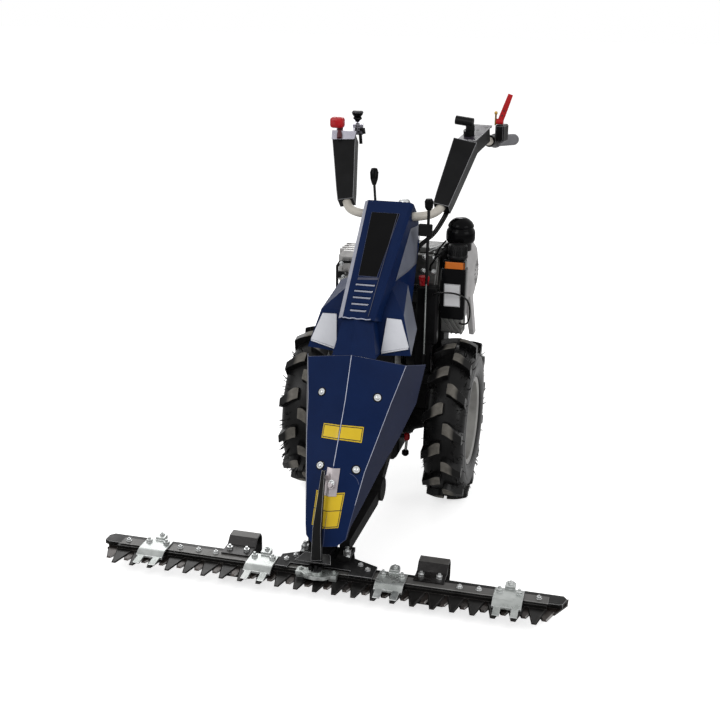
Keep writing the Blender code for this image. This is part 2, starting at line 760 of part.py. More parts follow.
def cheek_space():
    """Hollow inside both cheeks, open below."""
    rows = []
    for y0, slope, outline, inset in (
        (LAMP_Y + SHEET, LAMP_SLOPE, CHEEK_FRONT, SHEET), (CHEEK_REAR_Y - SHEET, 0.0, CHEEK_REAR, SHEET),
    ):
        half = []
        for index, (x, z) in enumerate(outline[:3]):
            z -= inset * 12 if index == 2 else inset
            half.append((x - inset, y0 + slope * (LAMP_Z - z), z))
        rows.append(closed_row(half))
    return loft(rows)


def neck(inset=0.0):
    """Folded front between the two cheeks that comes down onto the lower hood; an inset gives its hollow."""
    rows = []
    for middle, edge in (NECK_TOP, NECK_END):
        rear = (edge[0], NECK_REAR_Y, edge[2])
        rows.append([Vector(point) for point in (middle, edge, rear)])
    if inset:
        top, end = rows
        end = [high.lerp(low, 1.2) for high, low in zip(top, end)]
        rows = [[point + Vector((0, inset * 1.4, 0)) for point in row] for row in (top, end)]
        for row in rows:
            for point in row[1:]:
                point.x -= inset
            row[2].y += inset * 5
        for point in rows[0]:
            point.z -= inset
    return loft([[tuple(point) for point in row] + mirrored([tuple(p) for p in row[1:]]) for row in rows])


def build_upper_hood():
    ridge = loft([closed_row(ridge_row(share)) for share in (0.0, 0.35, 0.7, 1.0)])
    hollow = loft([closed_row(ridge_row(share, SHEET)) for share in (-0.25, 0.35, 0.7, 0.97)])
    adds = [cheek(-1), cheek(1), neck()]
    below_ridge = block((0.170, 0.020, 0.050), (0, CHEEK_REAR_Y, 0.580))
    cuts = [hollow, cheek_space(), below_ridge, neck(SHEET)]
    for number in range(LOUVRES):
        y, z = on_ridge(0.725 + number * LOUVRE_STEP)
        half = 0.0270 - number * 0.0013
        cuts.append(block((2 * half, LOUVRE_SLOT, 0.030), (0, y, z)))
    cuts.append(tube(handle_points(), TUBE_RADIUS + 0.0025, 1))
    node("upper_hood", "blue", joined(ridge, adds, cuts))


def build_hood_trim():
    slope = Vector((0, RIDGE_END[1] - RIDGE_TOP[1], RIDGE_END[2] - RIDGE_TOP[2])).normalized()
    out = Vector((0, slope.z, -slope.y))
    corners = []
    for along, half in WINDOW:
        y, z = on_ridge(along)
        corners.append(Vector((half, y, z)))
    corners = [Vector((-point.x, point.y, point.z)) for point in corners] + corners[::-1]
    low = [tuple(point + out * FIT) for point in corners]
    high = [tuple(point + out * 0.0022) for point in corners]
    node("window_panel", "gloss", between(low, high))

    for side, name in ((-1, "left"), (1, "right")):
        rows = []
        for offset in (0.0004, 0.0045):
            rows.append([(side * x, LAMP_Y + LAMP_SLOPE * (LAMP_Z - z) - offset, z) for x, z in LAMP_FACE])
        node(f"lamp_panel_{name}", "pale", loft(rows))


build_lower_hood()
build_upper_hood()
build_hood_trim()


def build_strap_bracket():
    """Small bent plate screwed to the crease of the lower hood beside the top of the guard strap."""
    rows = []
    for y, side_y, z in ((-0.6148, -0.5873, 0.3200), (-0.6510, -0.6260, 0.2560)):
        fold = (side_y - y) * 0.21
        rows.append([(-0.016, y - 0.0018 + fold, z), (0, y - 0.0020, z), (0.018, y - 0.0018 + fold, z)])
    base = sheet(rows, 0.0022, offset=0)
    run = (Vector(STRAP_TOP) - Vector(STRAP_MIDDLE)).normalized()
    out = Vector((0, -run.z, run.y))
    seat = Vector((-0.0185, STRAP_TOP[1] + STRAP_THICK, STRAP_TOP[2])) - run * 0.018
    tab_length = 0.0218
    tab_turn = (-math.atan2(run.y, run.z), 0, 0)
    tab = block((0.009, tab_length, 0.011), seat - out * (tab_length / 2 + 1.5 * FIT), tab_turn)
    middle = Vector((0.001, -0.6402, 0.2830))
    turn = (math.radians(62), 0, 0)
    washer = rod(0.0105, 0.0060, middle, turn, steps=16)
    bolt = rod(0.0065, 0.012, middle + Vector((0, -0.003, 0.0015)), turn, steps=6)
    node("strap_bracket", "zinc", joined(base, [washer, bolt, tab]))


build_strap_bracket()


# Wheels


def tread_lug(angle, side):
    """One slanting tread bar from near the middle of the tyre to its shoulder."""
    low = []
    high = []
    outer = TYRE_WIDTH / 2 - 0.0035
    for across, along, foot, drop in ((0.003, 0.000, -0.004, 0.0), (outer, 0.042, -0.018, 0.009)):
        for edge in (-1, 1):
            for radius, taper, rows in ((TREAD_RADIUS + foot, 0.023, low),
                (TYRE_RADIUS - drop, 0.0155, high)):
                turn = angle + (along + edge * taper) / TYRE_RADIUS
                rows.append((side * across, radius * math.cos(turn), radius * math.sin(turn)))
    order = (0, 1, 3, 2)
    return between([low[i] for i in order], [high[i] for i in order])


def build_wheel(side, name):
    centre = (side * WHEEL_X, 0, TYRE_RADIUS)
    half = TYRE_WIDTH / 2
    bead = RIM_RADIUS + 0.0012
    profile = [
        (bead, half - 0.0188), (bead + 0.0085, half - 0.0112), (bead + 0.013, half - 0.006),
        (bead + 0.0393, half), (TREAD_RADIUS - 0.026, half - 0.004),
        (TREAD_RADIUS - 0.005, half - 0.022), (TREAD_RADIUS, 0.0),
    ]
    ring = profile + [(r, -z) for r, z in reversed(profile[:-1])]
    casing = turned(ring, (0, 0, 0), "X", steps=26)
    step = 2 * math.pi / LUGS_PER_SIDE
    lugs = merged(
        [tread_lug(i * step, 1) for i in range(LUGS_PER_SIDE)]
        + [tread_lug((i + 0.5) * step, -1) for i in range(LUGS_PER_SIDE)]
    )
    tyre = joined(casing, [lugs])
    tyre.data.transform(Matrix.Translation(centre))
    node(f"tyre_{name}", "rubber", tyre, centre)

    seat = half - 0.018
    flange_in = half - 0.0105
    flange_out = half - 0.008
    well = half - 0.010
    disc_edge = RIM_RADIUS - 0.0295
    disc = 0.006
    barrel = [
        (RIM_RADIUS, seat), (RIM_RADIUS + 0.008, flange_in), (RIM_RADIUS + 0.008, flange_out),
        (RIM_RADIUS - 0.006, well), (RIM_RADIUS - 0.010, 0.014), (disc_edge, disc), (0.034, disc),
        (0.034, 0.0), (disc_edge, 0.0), (RIM_RADIUS - 0.010, -0.006), (RIM_RADIUS - 0.006, -well),
        (RIM_RADIUS + 0.008, -flange_out), (RIM_RADIUS + 0.008, -flange_in), (RIM_RADIUS, -seat),
    ]
    rim = turned([(r, side * z) for r, z in barrel], centre, "X", steps=20)
    nuts = []
    for i in range(WHEEL_NUTS):
        turn = 2 * math.pi * i / WHEEL_NUTS + 0.3
        spot = (
            side * (WHEEL_X + disc + 0.0045), NUT_CIRCLE * math.cos(turn),
            TYRE_RADIUS + NUT_CIRCLE * math.sin(turn),
        )
        nuts.append(hexagon(0.017, 0.011, spot, "X"))
    node(f"rim_{name}", "pale", joined(rim, nuts), centre)

    face = side * WHEEL_X
    tube_end = side * (AXLE_TUBE_END + FIT)
    inner = face - side * FIT
    flange = rod(0.058, 0.008, (inner - side * 0.004, 0, TYRE_RADIUS), "X", steps=20)
    hub_length = abs(inner - tube_end)
    hub = rod(0.026, hub_length, ((inner + tube_end) / 2, 0, TYRE_RADIUS), "X", steps=16)
    stub = rod(0.032, 0.016, (face + side * 0.006, 0, TYRE_RADIUS), "X", steps=16)
    nut = hexagon(0.030, 0.012, (face + side * 0.019, 0, TYRE_RADIUS), "X")
    node(f"axle_hub_{name}", "dark_steel", joined(flange, [hub, stub, nut]), centre)


build_wheel(-1, "left")
build_wheel(1, "right")


# Gearbox and mast


def build_gearbox():
    main = block((2 * GEARBOX_HALF, 0.250, 0.240), (0, -0.010, 0.270), edge=0.018, rounds=2)
    nose = rod(0.075, 0.060, (0, -0.140, 0.280), "Y", steps=24)
    reach = AXLE_TUBE_END - GEARBOX_HALF + 0.020
    tubes = [
        rod(0.038, reach, (side * (AXLE_TUBE_END - reach / 2), 0, TYRE_RADIUS), "X",
        steps=20) for side in (-1, 1)
    ]
    sump = block((0.100, 0.140, 0.050), (0, 0.0, 0.140), edge=0.010)
    deck = block((0.216, 0.300, 0.030), (0.040, 0.075, DECK_TOP - 0.015), edge=0.004)
    pedestal = block((0.150, 0.110, 0.170), (0.080, 0.160, DECK_TOP + 0.075), edge=0.008)
    clutch = rod(0.055, 0.100, (-0.020, 0.145, 0.330), "Y", steps=20)
    node("gearbox", "black", joined(main, [nose, *tubes, sump, deck, pedestal, clutch]))


build_gearbox()
PEDESTAL_TOP = DECK_TOP + 0.160


def build_mast():
    low = DECK_TOP + FIT
    foot = block((0.110, 0.050, 0.010), (0.015, -0.046, low + 0.005))
    post = loft(
        [
            [(x, y, low + 0.008) for x, y in ((-0.030, -0.068), (0.030, -0.068), (0.030, -0.026),
            (-0.030, -0.026))],
            [(x, y, HANDLE_Z - 0.004) for x,
            y in ((-0.026, -0.050), (0.026, -0.050), (0.026, -0.012), (-0.026, -0.012))],
        ]
    )
    head = rod(TUBE_RADIUS + 0.008, 0.076, (0, HANDLE_Y, HANDLE_Z), "X", steps=20)
    seat = block((0.040, 0.034, 0.022), (0.038, 0.002, 0.888))
    bore = rod(TUBE_RADIUS + 0.0005, 0.140, (0, HANDLE_Y, HANDLE_Z), "X", steps=20)
    inside = loft([closed_row(ridge_row(share, SHEET + 2 * FIT)) for share in (-0.25, 0.35, 0.7, 0.97)])
    strut = joined(block((0.300, 0.040, 0.024), (0, -0.072, 0.765)), within=[inside])
    node("handlebar_mast", "black", joined(post, [foot, head, seat, strut], [bore]))
    nut_at = (0.040, 0.003, 0.899 + FIT)
    dome = [(0, 0.026), (0.010, 0.0245), (0.0165, 0.019), (0.0180, 0.008), (0.0150, 0.0), (0, 0.0)]
    nut = turned(dome, nut_at, steps=16)
    node("handlebar_lock", "zinc", nut, nut_at)


build_mast()


# Handlebar and its controls


def grip_shape(side):
    """Rubber sleeve with a closed outer end and a collar, made around its own axis."""
    start = Vector((side * GRIP_START.x, GRIP_START.y, GRIP_START.z))
    end = Vector((side * GRIP_END.x, GRIP_END.y, GRIP_END.z))
    length = (end - start).length
    inner = TUBE_RADIUS + 0.0010
    ring = [
        (0.0, length), (TUBE_RADIUS + 0.001, length), (TUBE_RADIUS + 0.0050, length - 0.004),
        (TUBE_RADIUS + 0.0055, length * 0.5), (TUBE_RADIUS + 0.0050, 0.010), (TUBE_RADIUS + 0.0095, 0.006),
        (TUBE_RADIUS + 0.0095, 0.0), (inner, 0.0), (inner, length - 0.0055), (0.0, length - 0.0055),
    ]
    turn = (end - start).to_track_quat("Z", "Y").to_euler()
    return turned(ring, start, tuple(turn), steps=16)


def build_handlebar():
    node("handlebar_tube", "grey_paint", tube(handle_points(), TUBE_RADIUS, rounds=1), smooth=True)
    for side, name in ((-1, "left"), (1, "right")):
        node(f"grip_{name}", "grip", grip_shape(side))


build_handlebar()

CABLE_RADIUS = 0.0042
CABLE_ROUTE = (
    (0.1660, 0.094, 0.918), (0.1560, 0.064, 0.886), (0.1460, 0.040, 0.860),
    (0.1240, 0.012, 0.822), (0.0780, 0.004, 0.774),
    (0.0580, -0.012, 0.700), (0.0500, -0.014, 0.560), (0.0500, -0.014, DECK_TOP + 0.0010),
)


def cable_lines():
    first = smooth_path(CABLE_ROUTE, 2)
    second = smooth_path([(x + 0.0072, y + 0.004, z) for x, y, z in CABLE_ROUTE], 2)
    return first, second


def plate_matrix(side):
    """Place of the control plate of one side, whose own +Y runs back along the handlebar."""
    direction = Vector((side * PLATE_RUN[0], PLATE_RUN[1], PLATE_RUN[2])).normalized()
    right = direction.cross(Vector((0, 0, 1))).normalized()
    up = right.cross(direction).normalized()
    matrix = Matrix((right, direction, up)).transposed().to_4x4()
    matrix.translation = Vector((side * PLATE_AT[0], PLATE_AT[1], PLATE_AT[2]))
    return matrix


def on_plate(shape, side):
    shape.data.transform(plate_matrix(side))
    return shape


def throttle_clamp(grow=0.0):
    """Block beside the left control plate that holds the throttle; grown, it is the room for it."""
    return block((0.032 + 2 * grow, 0.036 + 2 * grow, 0.034 + 2 * grow), (PLATE_HALF + 0.008, 0.018, -0.0095))


def tube_saddle(grow=0.0):
    return block((0.034 + 2 * grow, 0.040 + 2 * grow, 0.026 + 2 * grow), (0, 0, -0.0135))


def build_covers():
    """Tapered boxes over the rising part of the handlebar, each with a box behind it below its plate."""
    housing_top = -PLATE_THICK / 2 - FIT
    housing_height = 0.042
    for side, name in ((-1, "left"), (1, "right")):
        low = Vector((0.146, 0.040, 0.896))
        high = Vector((0.1885, 0.176, 1.066))
        along = (high - low).normalized()
        out = (Vector((1, 0, 0)) - along * along.x).normalized()
        front = out.cross(along).normalized()
        front = front if front.y < 0 else -front
        rows = []
        for point, half, depth_front, depth_rear in (
            (low, 0.0235, 0.022, 0.024), (low + along * 0.035, 0.0260, 0.024, 0.026),
            (high, 0.036, 0.026, 0.026),
        ):
            rows.append(
                [
                    point + out * half + front * depth_front, point + out * half - front * depth_rear,
                    point - out * half - front * depth_rear, point - out * half + front * depth_front,
                ]
            )
        rows = [[(side * p.x, p.y, p.z) for p in row] for row in rows]
        housing = block((0.057, 0.124, housing_height), (0, -0.010, housing_top - housing_height / 2))
        cuts = [tube(handle_points(), TUBE_RADIUS + 0.0008, rounds=1), on_plate(tube_saddle(FIT), side)]
        if side > 0:
            cuts += [tube(line, CABLE_RADIUS + 0.0006, 1) for line in cable_lines()]
        else:
            cuts.append(on_plate(throttle_clamp(FIT), side))
        node(f"lever_cover_{name}", "black", joined(loft(rows), [on_plate(housing, side)], cuts))


build_covers()


def build_controls():
    for side, name in ((-1, "left"), (1, "right")):
        top = block((2 * PLATE_HALF, 0.142, PLATE_THICK), (0, 0, 0))
        lip = block((2 * PLATE_HALF - 0.004, 0.003, 0.008), (0, 0.0695, -0.0030))
        extra = [throttle_clamp()] if side < 0 else []
        shape = on_plate(joined(top, [lip, tube_saddle(), *extra]), side)
        shape = joined(shape, [], [tube(handle_points(), TUBE_RADIUS + 0.0006, rounds=1)])
        node(f"control_plate_{name}", "zinc", shape)
    left_matrix = plate_matrix(-1)
    right_matrix = plate_matrix(1)

    ring_turn = tuple((GRIP_START - Vector(RISE[-1])).to_track_quat("Z", "Y").to_euler())
    ring = rod(TUBE_RADIUS + 0.006, 0.030, (0.2378, 0.366, 1.0561), ring_turn, steps=16)
    housing = block((0.030, 0.050, 0.054), (0.2700, 0.362, 1.0830), (0, 0, math.radians(-10)), edge=0.004)
    bore = tube(handle_points(), TUBE_RADIUS + 0.0008, rounds=1)
    node("lever_box", "black", joined(ring, [housing], [bore]))

    red_at = left_matrix @ Vector((-0.0160, -0.040, 0.0015 + FIT))
    knob = block((0.044, 0.032, 0.034), red_at + Vector((-0.008, 0, 0.0240)), edge=0.009, rounds=2)
    up = left_matrix.to_3x3() @ Vector((0, 0, 1))
    stem = rod(0.010, 0.016, red_at + up * 0.0080, tuple(left_matrix.to_euler()), steps=12)
    node("stop_knob", "red", joined(knob, [stem]), tuple(red_at))

    flare_at = left_matrix @ Vector((PLATE_HALF + 0.006, 0.018, 0.0075 + FIT))
    ball = 0.0090
    profile = [
        (0, 0.038), (0.015, 0.037), (0.0190, 0.032), (0.016, 0.024), (ball, 0.016), (ball, ball),
        (ball * 0.7, ball * 0.3), (0, 0),
    ]
    flare = turned(profile, tuple(flare_at), steps=16)
    node("throttle_knob", "black", flare, (flare_at.x, flare_at.y, flare_at.z + ball))

    pivot = right_matrix @ Vector((-0.008, -0.030, 0.0015 + FIT))
    tilt = tuple(right_matrix.to_euler())
    boss = rod(0.0165, 0.016, pivot + right_matrix.to_3x3() @ Vector((0, 0, 0.0080)), tilt, steps=16)
    bend = [pivot + Vector(p) for p in ((0, 0, 0.012), (0.003, -0.006, 0.026), (-0.004, -0.010, 0.038))]
    arm = tube(smooth_path(bend, 3), 0.009, 1)
    fall = (0, math.radians(96), math.radians(-6))
    handle = rod(0.0135, 0.054, pivot + Vector((-0.014, -0.010, 0.042)), fall, steps=12)
    node("clutch_lever", "black", joined(boss, [arm, handle]), tuple(pivot))

    hinge = Vector((0.2620, 0.350, 1.1100))
    tip = Vector((0.2920, 0.362, 1.2026))
    run = (tip - hinge).normalized()
    broad = Vector((0.25, -1.0, 0.0)).cross(run).normalized()
    thin = run.cross(broad).normalized()
    rows = []
    for reach, half in ((0.009, 0.0085), (0.030, 0.0090), (0.060, 0.0085), ((tip - hinge).length, 0.0075)):
        point = hinge + run * reach
        corners = ((1, 1), (-1, 1), (-1, -1), (1, -1))
        rows.append([tuple(point + broad * half * a + thin * 0.003 * b) for a, b in corners])
    root = rod(0.0090, 0.022, hinge + Vector((0.002, 0, 0.0094)), "X", steps=16)
    node("brake_lever", "red", joined(loft(rows), [root]), (hinge.x, hinge.y, hinge.z + 0.0094))


build_controls()


def build_gear_levers():
    low = DECK_TOP + FIT
    right_at = (0.1275, -0.0685, low)
    shaft = rod(0.0045, 0.496, (right_at[0], right_at[1], low + 0.256), steps=8)
    knob = turned(
        [(0, 0.944), (0.009, 0.942), (0.0135, 0.934), (0.0120, 0.917), (0.006, 0.908), (0, 0.908)],
        (right_at[0], right_at[1], 0), steps=12,
    )
    pivot = 0.0090
    foot = rod(pivot, 0.020, (right_at[0], right_at[1], low + pivot), "X", steps=12)
    node("gear_lever_right", "dark_steel", joined(shaft, [knob, foot]),
        (right_at[0], right_at[1], low + pivot))

    left_at = (-0.040, 0.010, low)
    line = smooth_path(
        [(-0.040, 0.010, low + 0.006), (-0.044, 0.016, 0.60), (-0.050, 0.040, 0.80),
        (-0.074, 0.092, 0.950)], 3
    )
    stem = tube(line, 0.0045, 1)
    ball = turned(
        [(0, 0.052), (0.009, 0.050), (0.0135, 0.038), (0.0120, 0.018), (0.006, 0.0), (0, 0.0)],
        (-0.0740, 0.0915, 0.944), (math.radians(-14), math.radians(-4), 0), steps=12,
    )
    base = rod(pivot, 0.024, (left_at[0], left_at[1], low + pivot), "Y", steps=12)
    node("gear_lever_left", "dark_steel", joined(stem, [ball, base]), (left_at[0], left_at[1], low + pivot))


build_gear_levers()


# Engine, standing on the pedestal with its crankshaft across the machine


def build_engine():
    low = PEDESTAL_TOP + FIT
    case_front = CASE_FRONT
    case_middle = (CASE_SIZE[0] / 2, case_front + CASE_SIZE[1] / 2, low + CASE_SIZE[2] / 2)
    case = block(CASE_SIZE, case_middle, edge=0.012)
    side_cover = rod(0.060, 0.030, (0.000, FAN_Y + 0.020, 0.665), "X", steps=20)
    neck = rod(0.045, 0.024, (FAN_X - 0.0125, FAN_Y + 0.020, FAN_Z), "X", steps=16)
    foot_at = (0.1890, 0.0730, 0.5470)
    foot = block((0.068, 0.046, 0.078), foot_at, edge=0.005)
    ribs = [
        block((0.0045, 0.014, 0.092), (0.1640 + i * 0.0150, 0.0510, foot_at[2]), (0, -0.6, 0))
        for i in range(4)
    ]
    foot = joined(foot, ribs, [], [block((0.068, 0.060, 0.078), (foot_at[0], 0.0705, foot_at[2]))])
    arm = block((0.024, 0.040, 0.022), (0.1680, 0.0980, low + 0.0120))
    node("crankcase", "cast", joined(case, [side_cover, neck, foot, arm]))

    lean = math.radians(65)
    axis = Vector((0, -math.sin(lean), math.cos(lean)))
    start = Vector((0.090, case_front - 0.0008, 0.668))
    core = block((0.086, 0.086, 0.066), start + axis * 0.0400, (lean, 0, 0))
    fins = [block((0.120, 0.112, 0.004), start + axis * (0.0300 + i * 0.0125),
        (lean, 0, 0)) for i in range(4)]
    flange = block((0.110, 0.010, 0.100), (0.090, case_front - FIT - 0.005, 0.668))
    beyond = block((0.30, 0.10, 0.30), (0.090, case_front - FIT + 0.050, 0.668))
    node("cylinder", "cast", joined(core, [*fins, flange], [beyond]))
    head = block((0.112, 0.104, 0.024), start + axis * (0.0733 + 0.0120), (lean, 0, 0), edge=0.006)
    node("cylinder_head", "cast", head)

    cowl = block((0.066, 0.034, 0.180), (0.1290, -0.0450, 0.590), edge=0.006)
    cowl_leg = block((0.050, 0.030, 0.110), (0.1210, -0.0440, DECK_TOP + FIT + 0.055), edge=0.003)
    node("front_cowl", "black", joined(cowl, [cowl_leg]))
    cap_at = (0.1160, -0.0450, DECK_TOP + 0.270 + 2 * FIT)
    cap = rod(0.0135, 0.020, (cap_at[0], cap_at[1], cap_at[2] + 0.010), steps=16)
    lid = rod(0.0160, 0.012, (cap_at[0], cap_at[1], cap_at[2] + 0.020), steps=8)
    node("filler_cap", "red", joined(cap, [lid]), cap_at)

    fan = turned(
        [(0, 0.054), (0.040, 0.054), (0.078, 0.046), (FAN_RADIUS, 0.026), (FAN_RADIUS, 0.0), (0, 0.0)],
        (FAN_X, FAN_Y, FAN_Z), "X", steps=28,
    )
    leg = loft(
        [
            [(x, y, z) for x, y in ((0.2130, FAN_Y - 0.042), (0.2340, FAN_Y - 0.042),
            (0.2340, FAN_Y + 0.010), (0.2130, FAN_Y + 0.010))]
            for z in (FAN_Z - 0.065,)
        ]
        + [
            [(x, y, z) for x, y in ((0.2360, FAN_Y - 0.038), (0.2500, FAN_Y - 0.038),
            (0.2500, FAN_Y + 0.004), (0.2360, FAN_Y + 0.004))]
            for z in (2 * TYRE_RADIUS - 0.006,)
        ]
    )
    rope_z = FAN_Z + 0.040
    outlet = block((0.020, 0.026, 0.020), (FAN_X + 0.013, FAN_Y + 0.098, rope_z))
    tank_rear = TANK_FRONT_Y + TANK_SIZE[1] + FIT
    stay_end = FAN_Y - FAN_RADIUS * 0.85
    stay = block((0.014, stay_end - tank_rear, 0.026), (TANK_X, (stay_end + tank_rear) / 2, 0.650))
    stay_foot = block((0.044, 0.004, 0.050), (TANK_X, tank_rear + 0.002, 0.650))
    node("fan_housing", "pale", joined(fan, [leg, outlet, stay, stay_foot]))
    grip_at = (FAN_X + 0.013, FAN_Y + 0.111 + FIT, rope_z)
    handle = block((0.044, 0.013, 0.014), Vector(grip_at) + Vector((0, 0.0065, 0)), edge=0.003)
    node("starter_grip", "black", handle, grip_at)

    tank_y = TANK_FRONT_Y + TANK_SIZE[1] / 2
    tank = block(TANK_SIZE, (TANK_X, tank_y, TANK_Z), edge=0.007, rounds=2)
    top_low = TANK_Z + TANK_SIZE[2] / 2 - 0.008
    top_size = (TANK_SIZE[0] - 0.007, TANK_SIZE[1] - 0.004, 0.032)
    top = block(top_size, (TANK_X, tank_y, top_low + top_size[2] / 2), edge=0.005)
    node("fuel_tank", "black", joined(tank, [top]))
    lid_at = (TANK_X + 0.006, tank_y + 0.002, top_low + top_size[2] + FIT)
    lid = turned([(0, 0.044), (0.024, 0.044), (0.030, 0.038), (0.030, 0.006), (0.026, 0.0), (0, 0.0)],
        lid_at, steps=20)
    node("fuel_cap", "black", lid, lid_at)

    dome_at = (0.2065, 0.035, 0.7990)
    dome = turned(
        [(0, 0.074), (0.018, 0.072), (0.034, 0.061), (0.039, 0.050), (0.036, 0.044), (0.042, 0.036),
        (0.0435, 0.012),
         (0.038, 0.0), (0, 0.0)], dome_at, steps=24,
    )
    node("air_cleaner_dome", "gloss", dome)
    base_disc = rod(0.034, 0.022, (dome_at[0], dome_at[1], dome_at[2] - FIT - 0.011), steps=20)
    bend = [(0.198, 0.034, 0.786), (0.172, 0.036, 0.782), (0.162, 0.046, 0.750), (0.162, 0.046, 0.7176)]
    elbow = tube(smooth_path(bend, 3), 0.015, 1)
    node("air_duct", "black", joined(base_disc, [elbow]))

    carb = block((0.034, 0.046, 0.040), (0.1690, 0.050, 0.6970), edge=0.004)
    bowl = rod(0.0155, 0.030, (0.1690, 0.050, 0.6650), steps=14)
    inlet = rod(0.013, 0.006, (0.1532, 0.054, 0.6960), "X", steps=12)
    node("carburettor", "cast", joined(carb, [bowl, inlet]))


build_engine()


def build_muffler():
    at = MUFFLER_AT
    body = block(MUFFLER_SIZE, at, edge=0.014)
    ribs = [block((0.084, 0.006, 0.108), (at[0], at[1] - 0.040 + i * 0.026, at[2])) for i in range(4)]
    pipe = rod(0.014, 0.119, (-0.0300, 0.060, 0.700), "X", steps=12)
    outlet = rod(0.011, 0.020, (at[0] - 0.020, -0.018, 0.690), "Y", steps=12)
    node("muffler", "zinc", joined(body, [*ribs, pipe, outlet]))
    outline = (
        (-0.158, 0.640), (-0.158, 0.716), (-0.148, 0.732), (-0.112, 0.735), (-0.112, 0.726),
        (-0.143, 0.724),
        (-0.150, 0.712), (-0.150, 0.700), (-0.132, 0.698), (-0.132, 0.680), (-0.150, 0.678),
        (-0.150, 0.652),
        (-0.120, 0.646), (-0.120, 0.640),
    )
    front = -0.0340
    face = between([(x, front, z) for x, z in outline], [(x, front + 0.003, z) for x, z in outline])
    stay = block((0.010, 0.018, 0.008), (-0.117, -0.0247, 0.7300))
    node("muffler_guard", "black", joined(face, [stay]))


build_muffler()


def build_cables():
    first, second = cable_lines()
    tie = block((0.020, 0.014, 0.010), (0.0820, 0.008, 0.7740))
    low_tie = block((0.020, 0.014, 0.008), (0.0536, -0.012, 0.560))
    shape = joined(tube(first, CABLE_RADIUS, 1), [tube(second, CABLE_RADIUS, 1), tie, low_tie])
    node("control_cables", "rubber", shape)
    loop = [
        (0.1470, -0.0624, 0.660), (0.1470, -0.0700, 0.660), (0.1530, -0.0750, 0.664),
        (0.1850, -0.0790, 0.671), (0.2250, -0.0780, 0.668),
        (0.2520, -0.0620, 0.645), (0.2560, -0.0380, 0.600), (0.2440, 0.000, 0.5620),
        (0.2280, 0.0240, 0.5490), (0.2150, 0.0370, 0.5460), (0.2150, 0.0430, 0.5460),
    ]
    node("engine_cable", "rubber", tube(smooth_path(loop, 2), 0.0028, 1))


build_cables()


def centre_machine():
    """Moves every part so that the whole machine is centred over the origin."""
    bpy.context.view_layer.update()
    low = Vector((1e9, 1e9, 1e9))
    high = -low
    for obj in MACHINE.objects:
        for vert in obj.data.vertices:
            point = obj.matrix_world @ vert.co
            low = Vector(map(min, low, point))
            high = Vector(map(max, high, point))
    shift = Vector(((low.x + high.x) / 2, (low.y + high.y) / 2, low.z))
    for obj in MACHINE.objects:
        obj.location -= shift
    print("machine moved by", [round(-value, 5) for value in shift])


centre_machine()
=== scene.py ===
"""Walk-behind motor mower with a cutter bar: finishes, small parts and a pale studio around the fixed model.

Laid out as an add-on that is run as a script. Each operator makes one group of pieces, and main() calls them
in order. Metres, +Z up; the front of the machine faces -Y. Places are written from the wheel axle, at ground
height, and `at` moves them into the model's frame.
"""

import math

import bmesh
import bpy
import numpy as np
from mathutils import Matrix, Vector
from mathutils.bvhtree import BVHTree


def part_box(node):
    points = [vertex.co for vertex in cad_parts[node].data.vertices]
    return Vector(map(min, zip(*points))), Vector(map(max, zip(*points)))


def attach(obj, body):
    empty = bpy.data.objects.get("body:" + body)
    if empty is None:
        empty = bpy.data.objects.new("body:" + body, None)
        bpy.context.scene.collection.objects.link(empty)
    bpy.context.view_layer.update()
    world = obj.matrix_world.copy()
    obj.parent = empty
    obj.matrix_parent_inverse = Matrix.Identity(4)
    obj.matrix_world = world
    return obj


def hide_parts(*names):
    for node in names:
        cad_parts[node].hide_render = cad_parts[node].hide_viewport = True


bl_info = {
    "name": "Motor mower",
    "version": (1, 0, 0),
    "blender": (4, 5, 0),
    "location": "View3D > Sidebar > Mower",
    "description": "Finishes and small parts of a walk-behind motor mower",
    "category": "Object",
}

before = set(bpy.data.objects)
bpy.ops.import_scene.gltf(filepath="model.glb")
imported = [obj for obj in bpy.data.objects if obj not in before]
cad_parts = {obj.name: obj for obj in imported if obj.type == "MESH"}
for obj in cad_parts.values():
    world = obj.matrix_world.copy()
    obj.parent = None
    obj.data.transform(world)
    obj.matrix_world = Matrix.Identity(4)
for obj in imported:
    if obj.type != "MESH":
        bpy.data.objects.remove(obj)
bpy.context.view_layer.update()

WHEEL_LOW, WHEEL_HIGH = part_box("rim_left")
AXLE_Y = (WHEEL_LOW.y + WHEEL_HIGH.y) / 2
TYRE_RADIUS = 0.250
WHEEL_X = 0.2184
SIDES = ((-1, "left"), (1, "right"))
ACROSS = Vector((1, 0, 0))
BACKWARD = Vector((0, 1, 0))


def at(x, y, z):
    """A place written from the axle, in the model's frame."""
    return Vector((x, y + AXLE_Y, z))


def from_axle(point):
    return point - Vector((0, AXLE_Y, 0))


# Settings shown in the sidebar


class MowerSettings(bpy.types.PropertyGroup):
    edge: bpy.props.FloatProperty(
        name="Edge", description="Width of the rounded edges on cast and pressed parts",
        default=0.0014, min=0.0, max=0.004, subtype="DISTANCE", unit="LENGTH",
    )
    lugs: bpy.props.IntProperty(
        name="Lugs", description="Tread lugs on each side of a tyre", default=13, min=8, max=20,
    )
    hairs: bpy.props.IntProperty(
        name="Vent hairs", description="Rubber vent hairs on each tyre", default=560, min=0, max=800,
    )
    hair_length: bpy.props.FloatProperty(
        name="Hair length", description="Longest vent hair", default=0.019, min=0.002, max=0.03,
        subtype="DISTANCE", unit="LENGTH",
    )
    light: bpy.props.FloatProperty(
        name="Light", description="Level of the studio lamps", default=1.0, min=0.1, max=3.0,
    )


# Shader groups


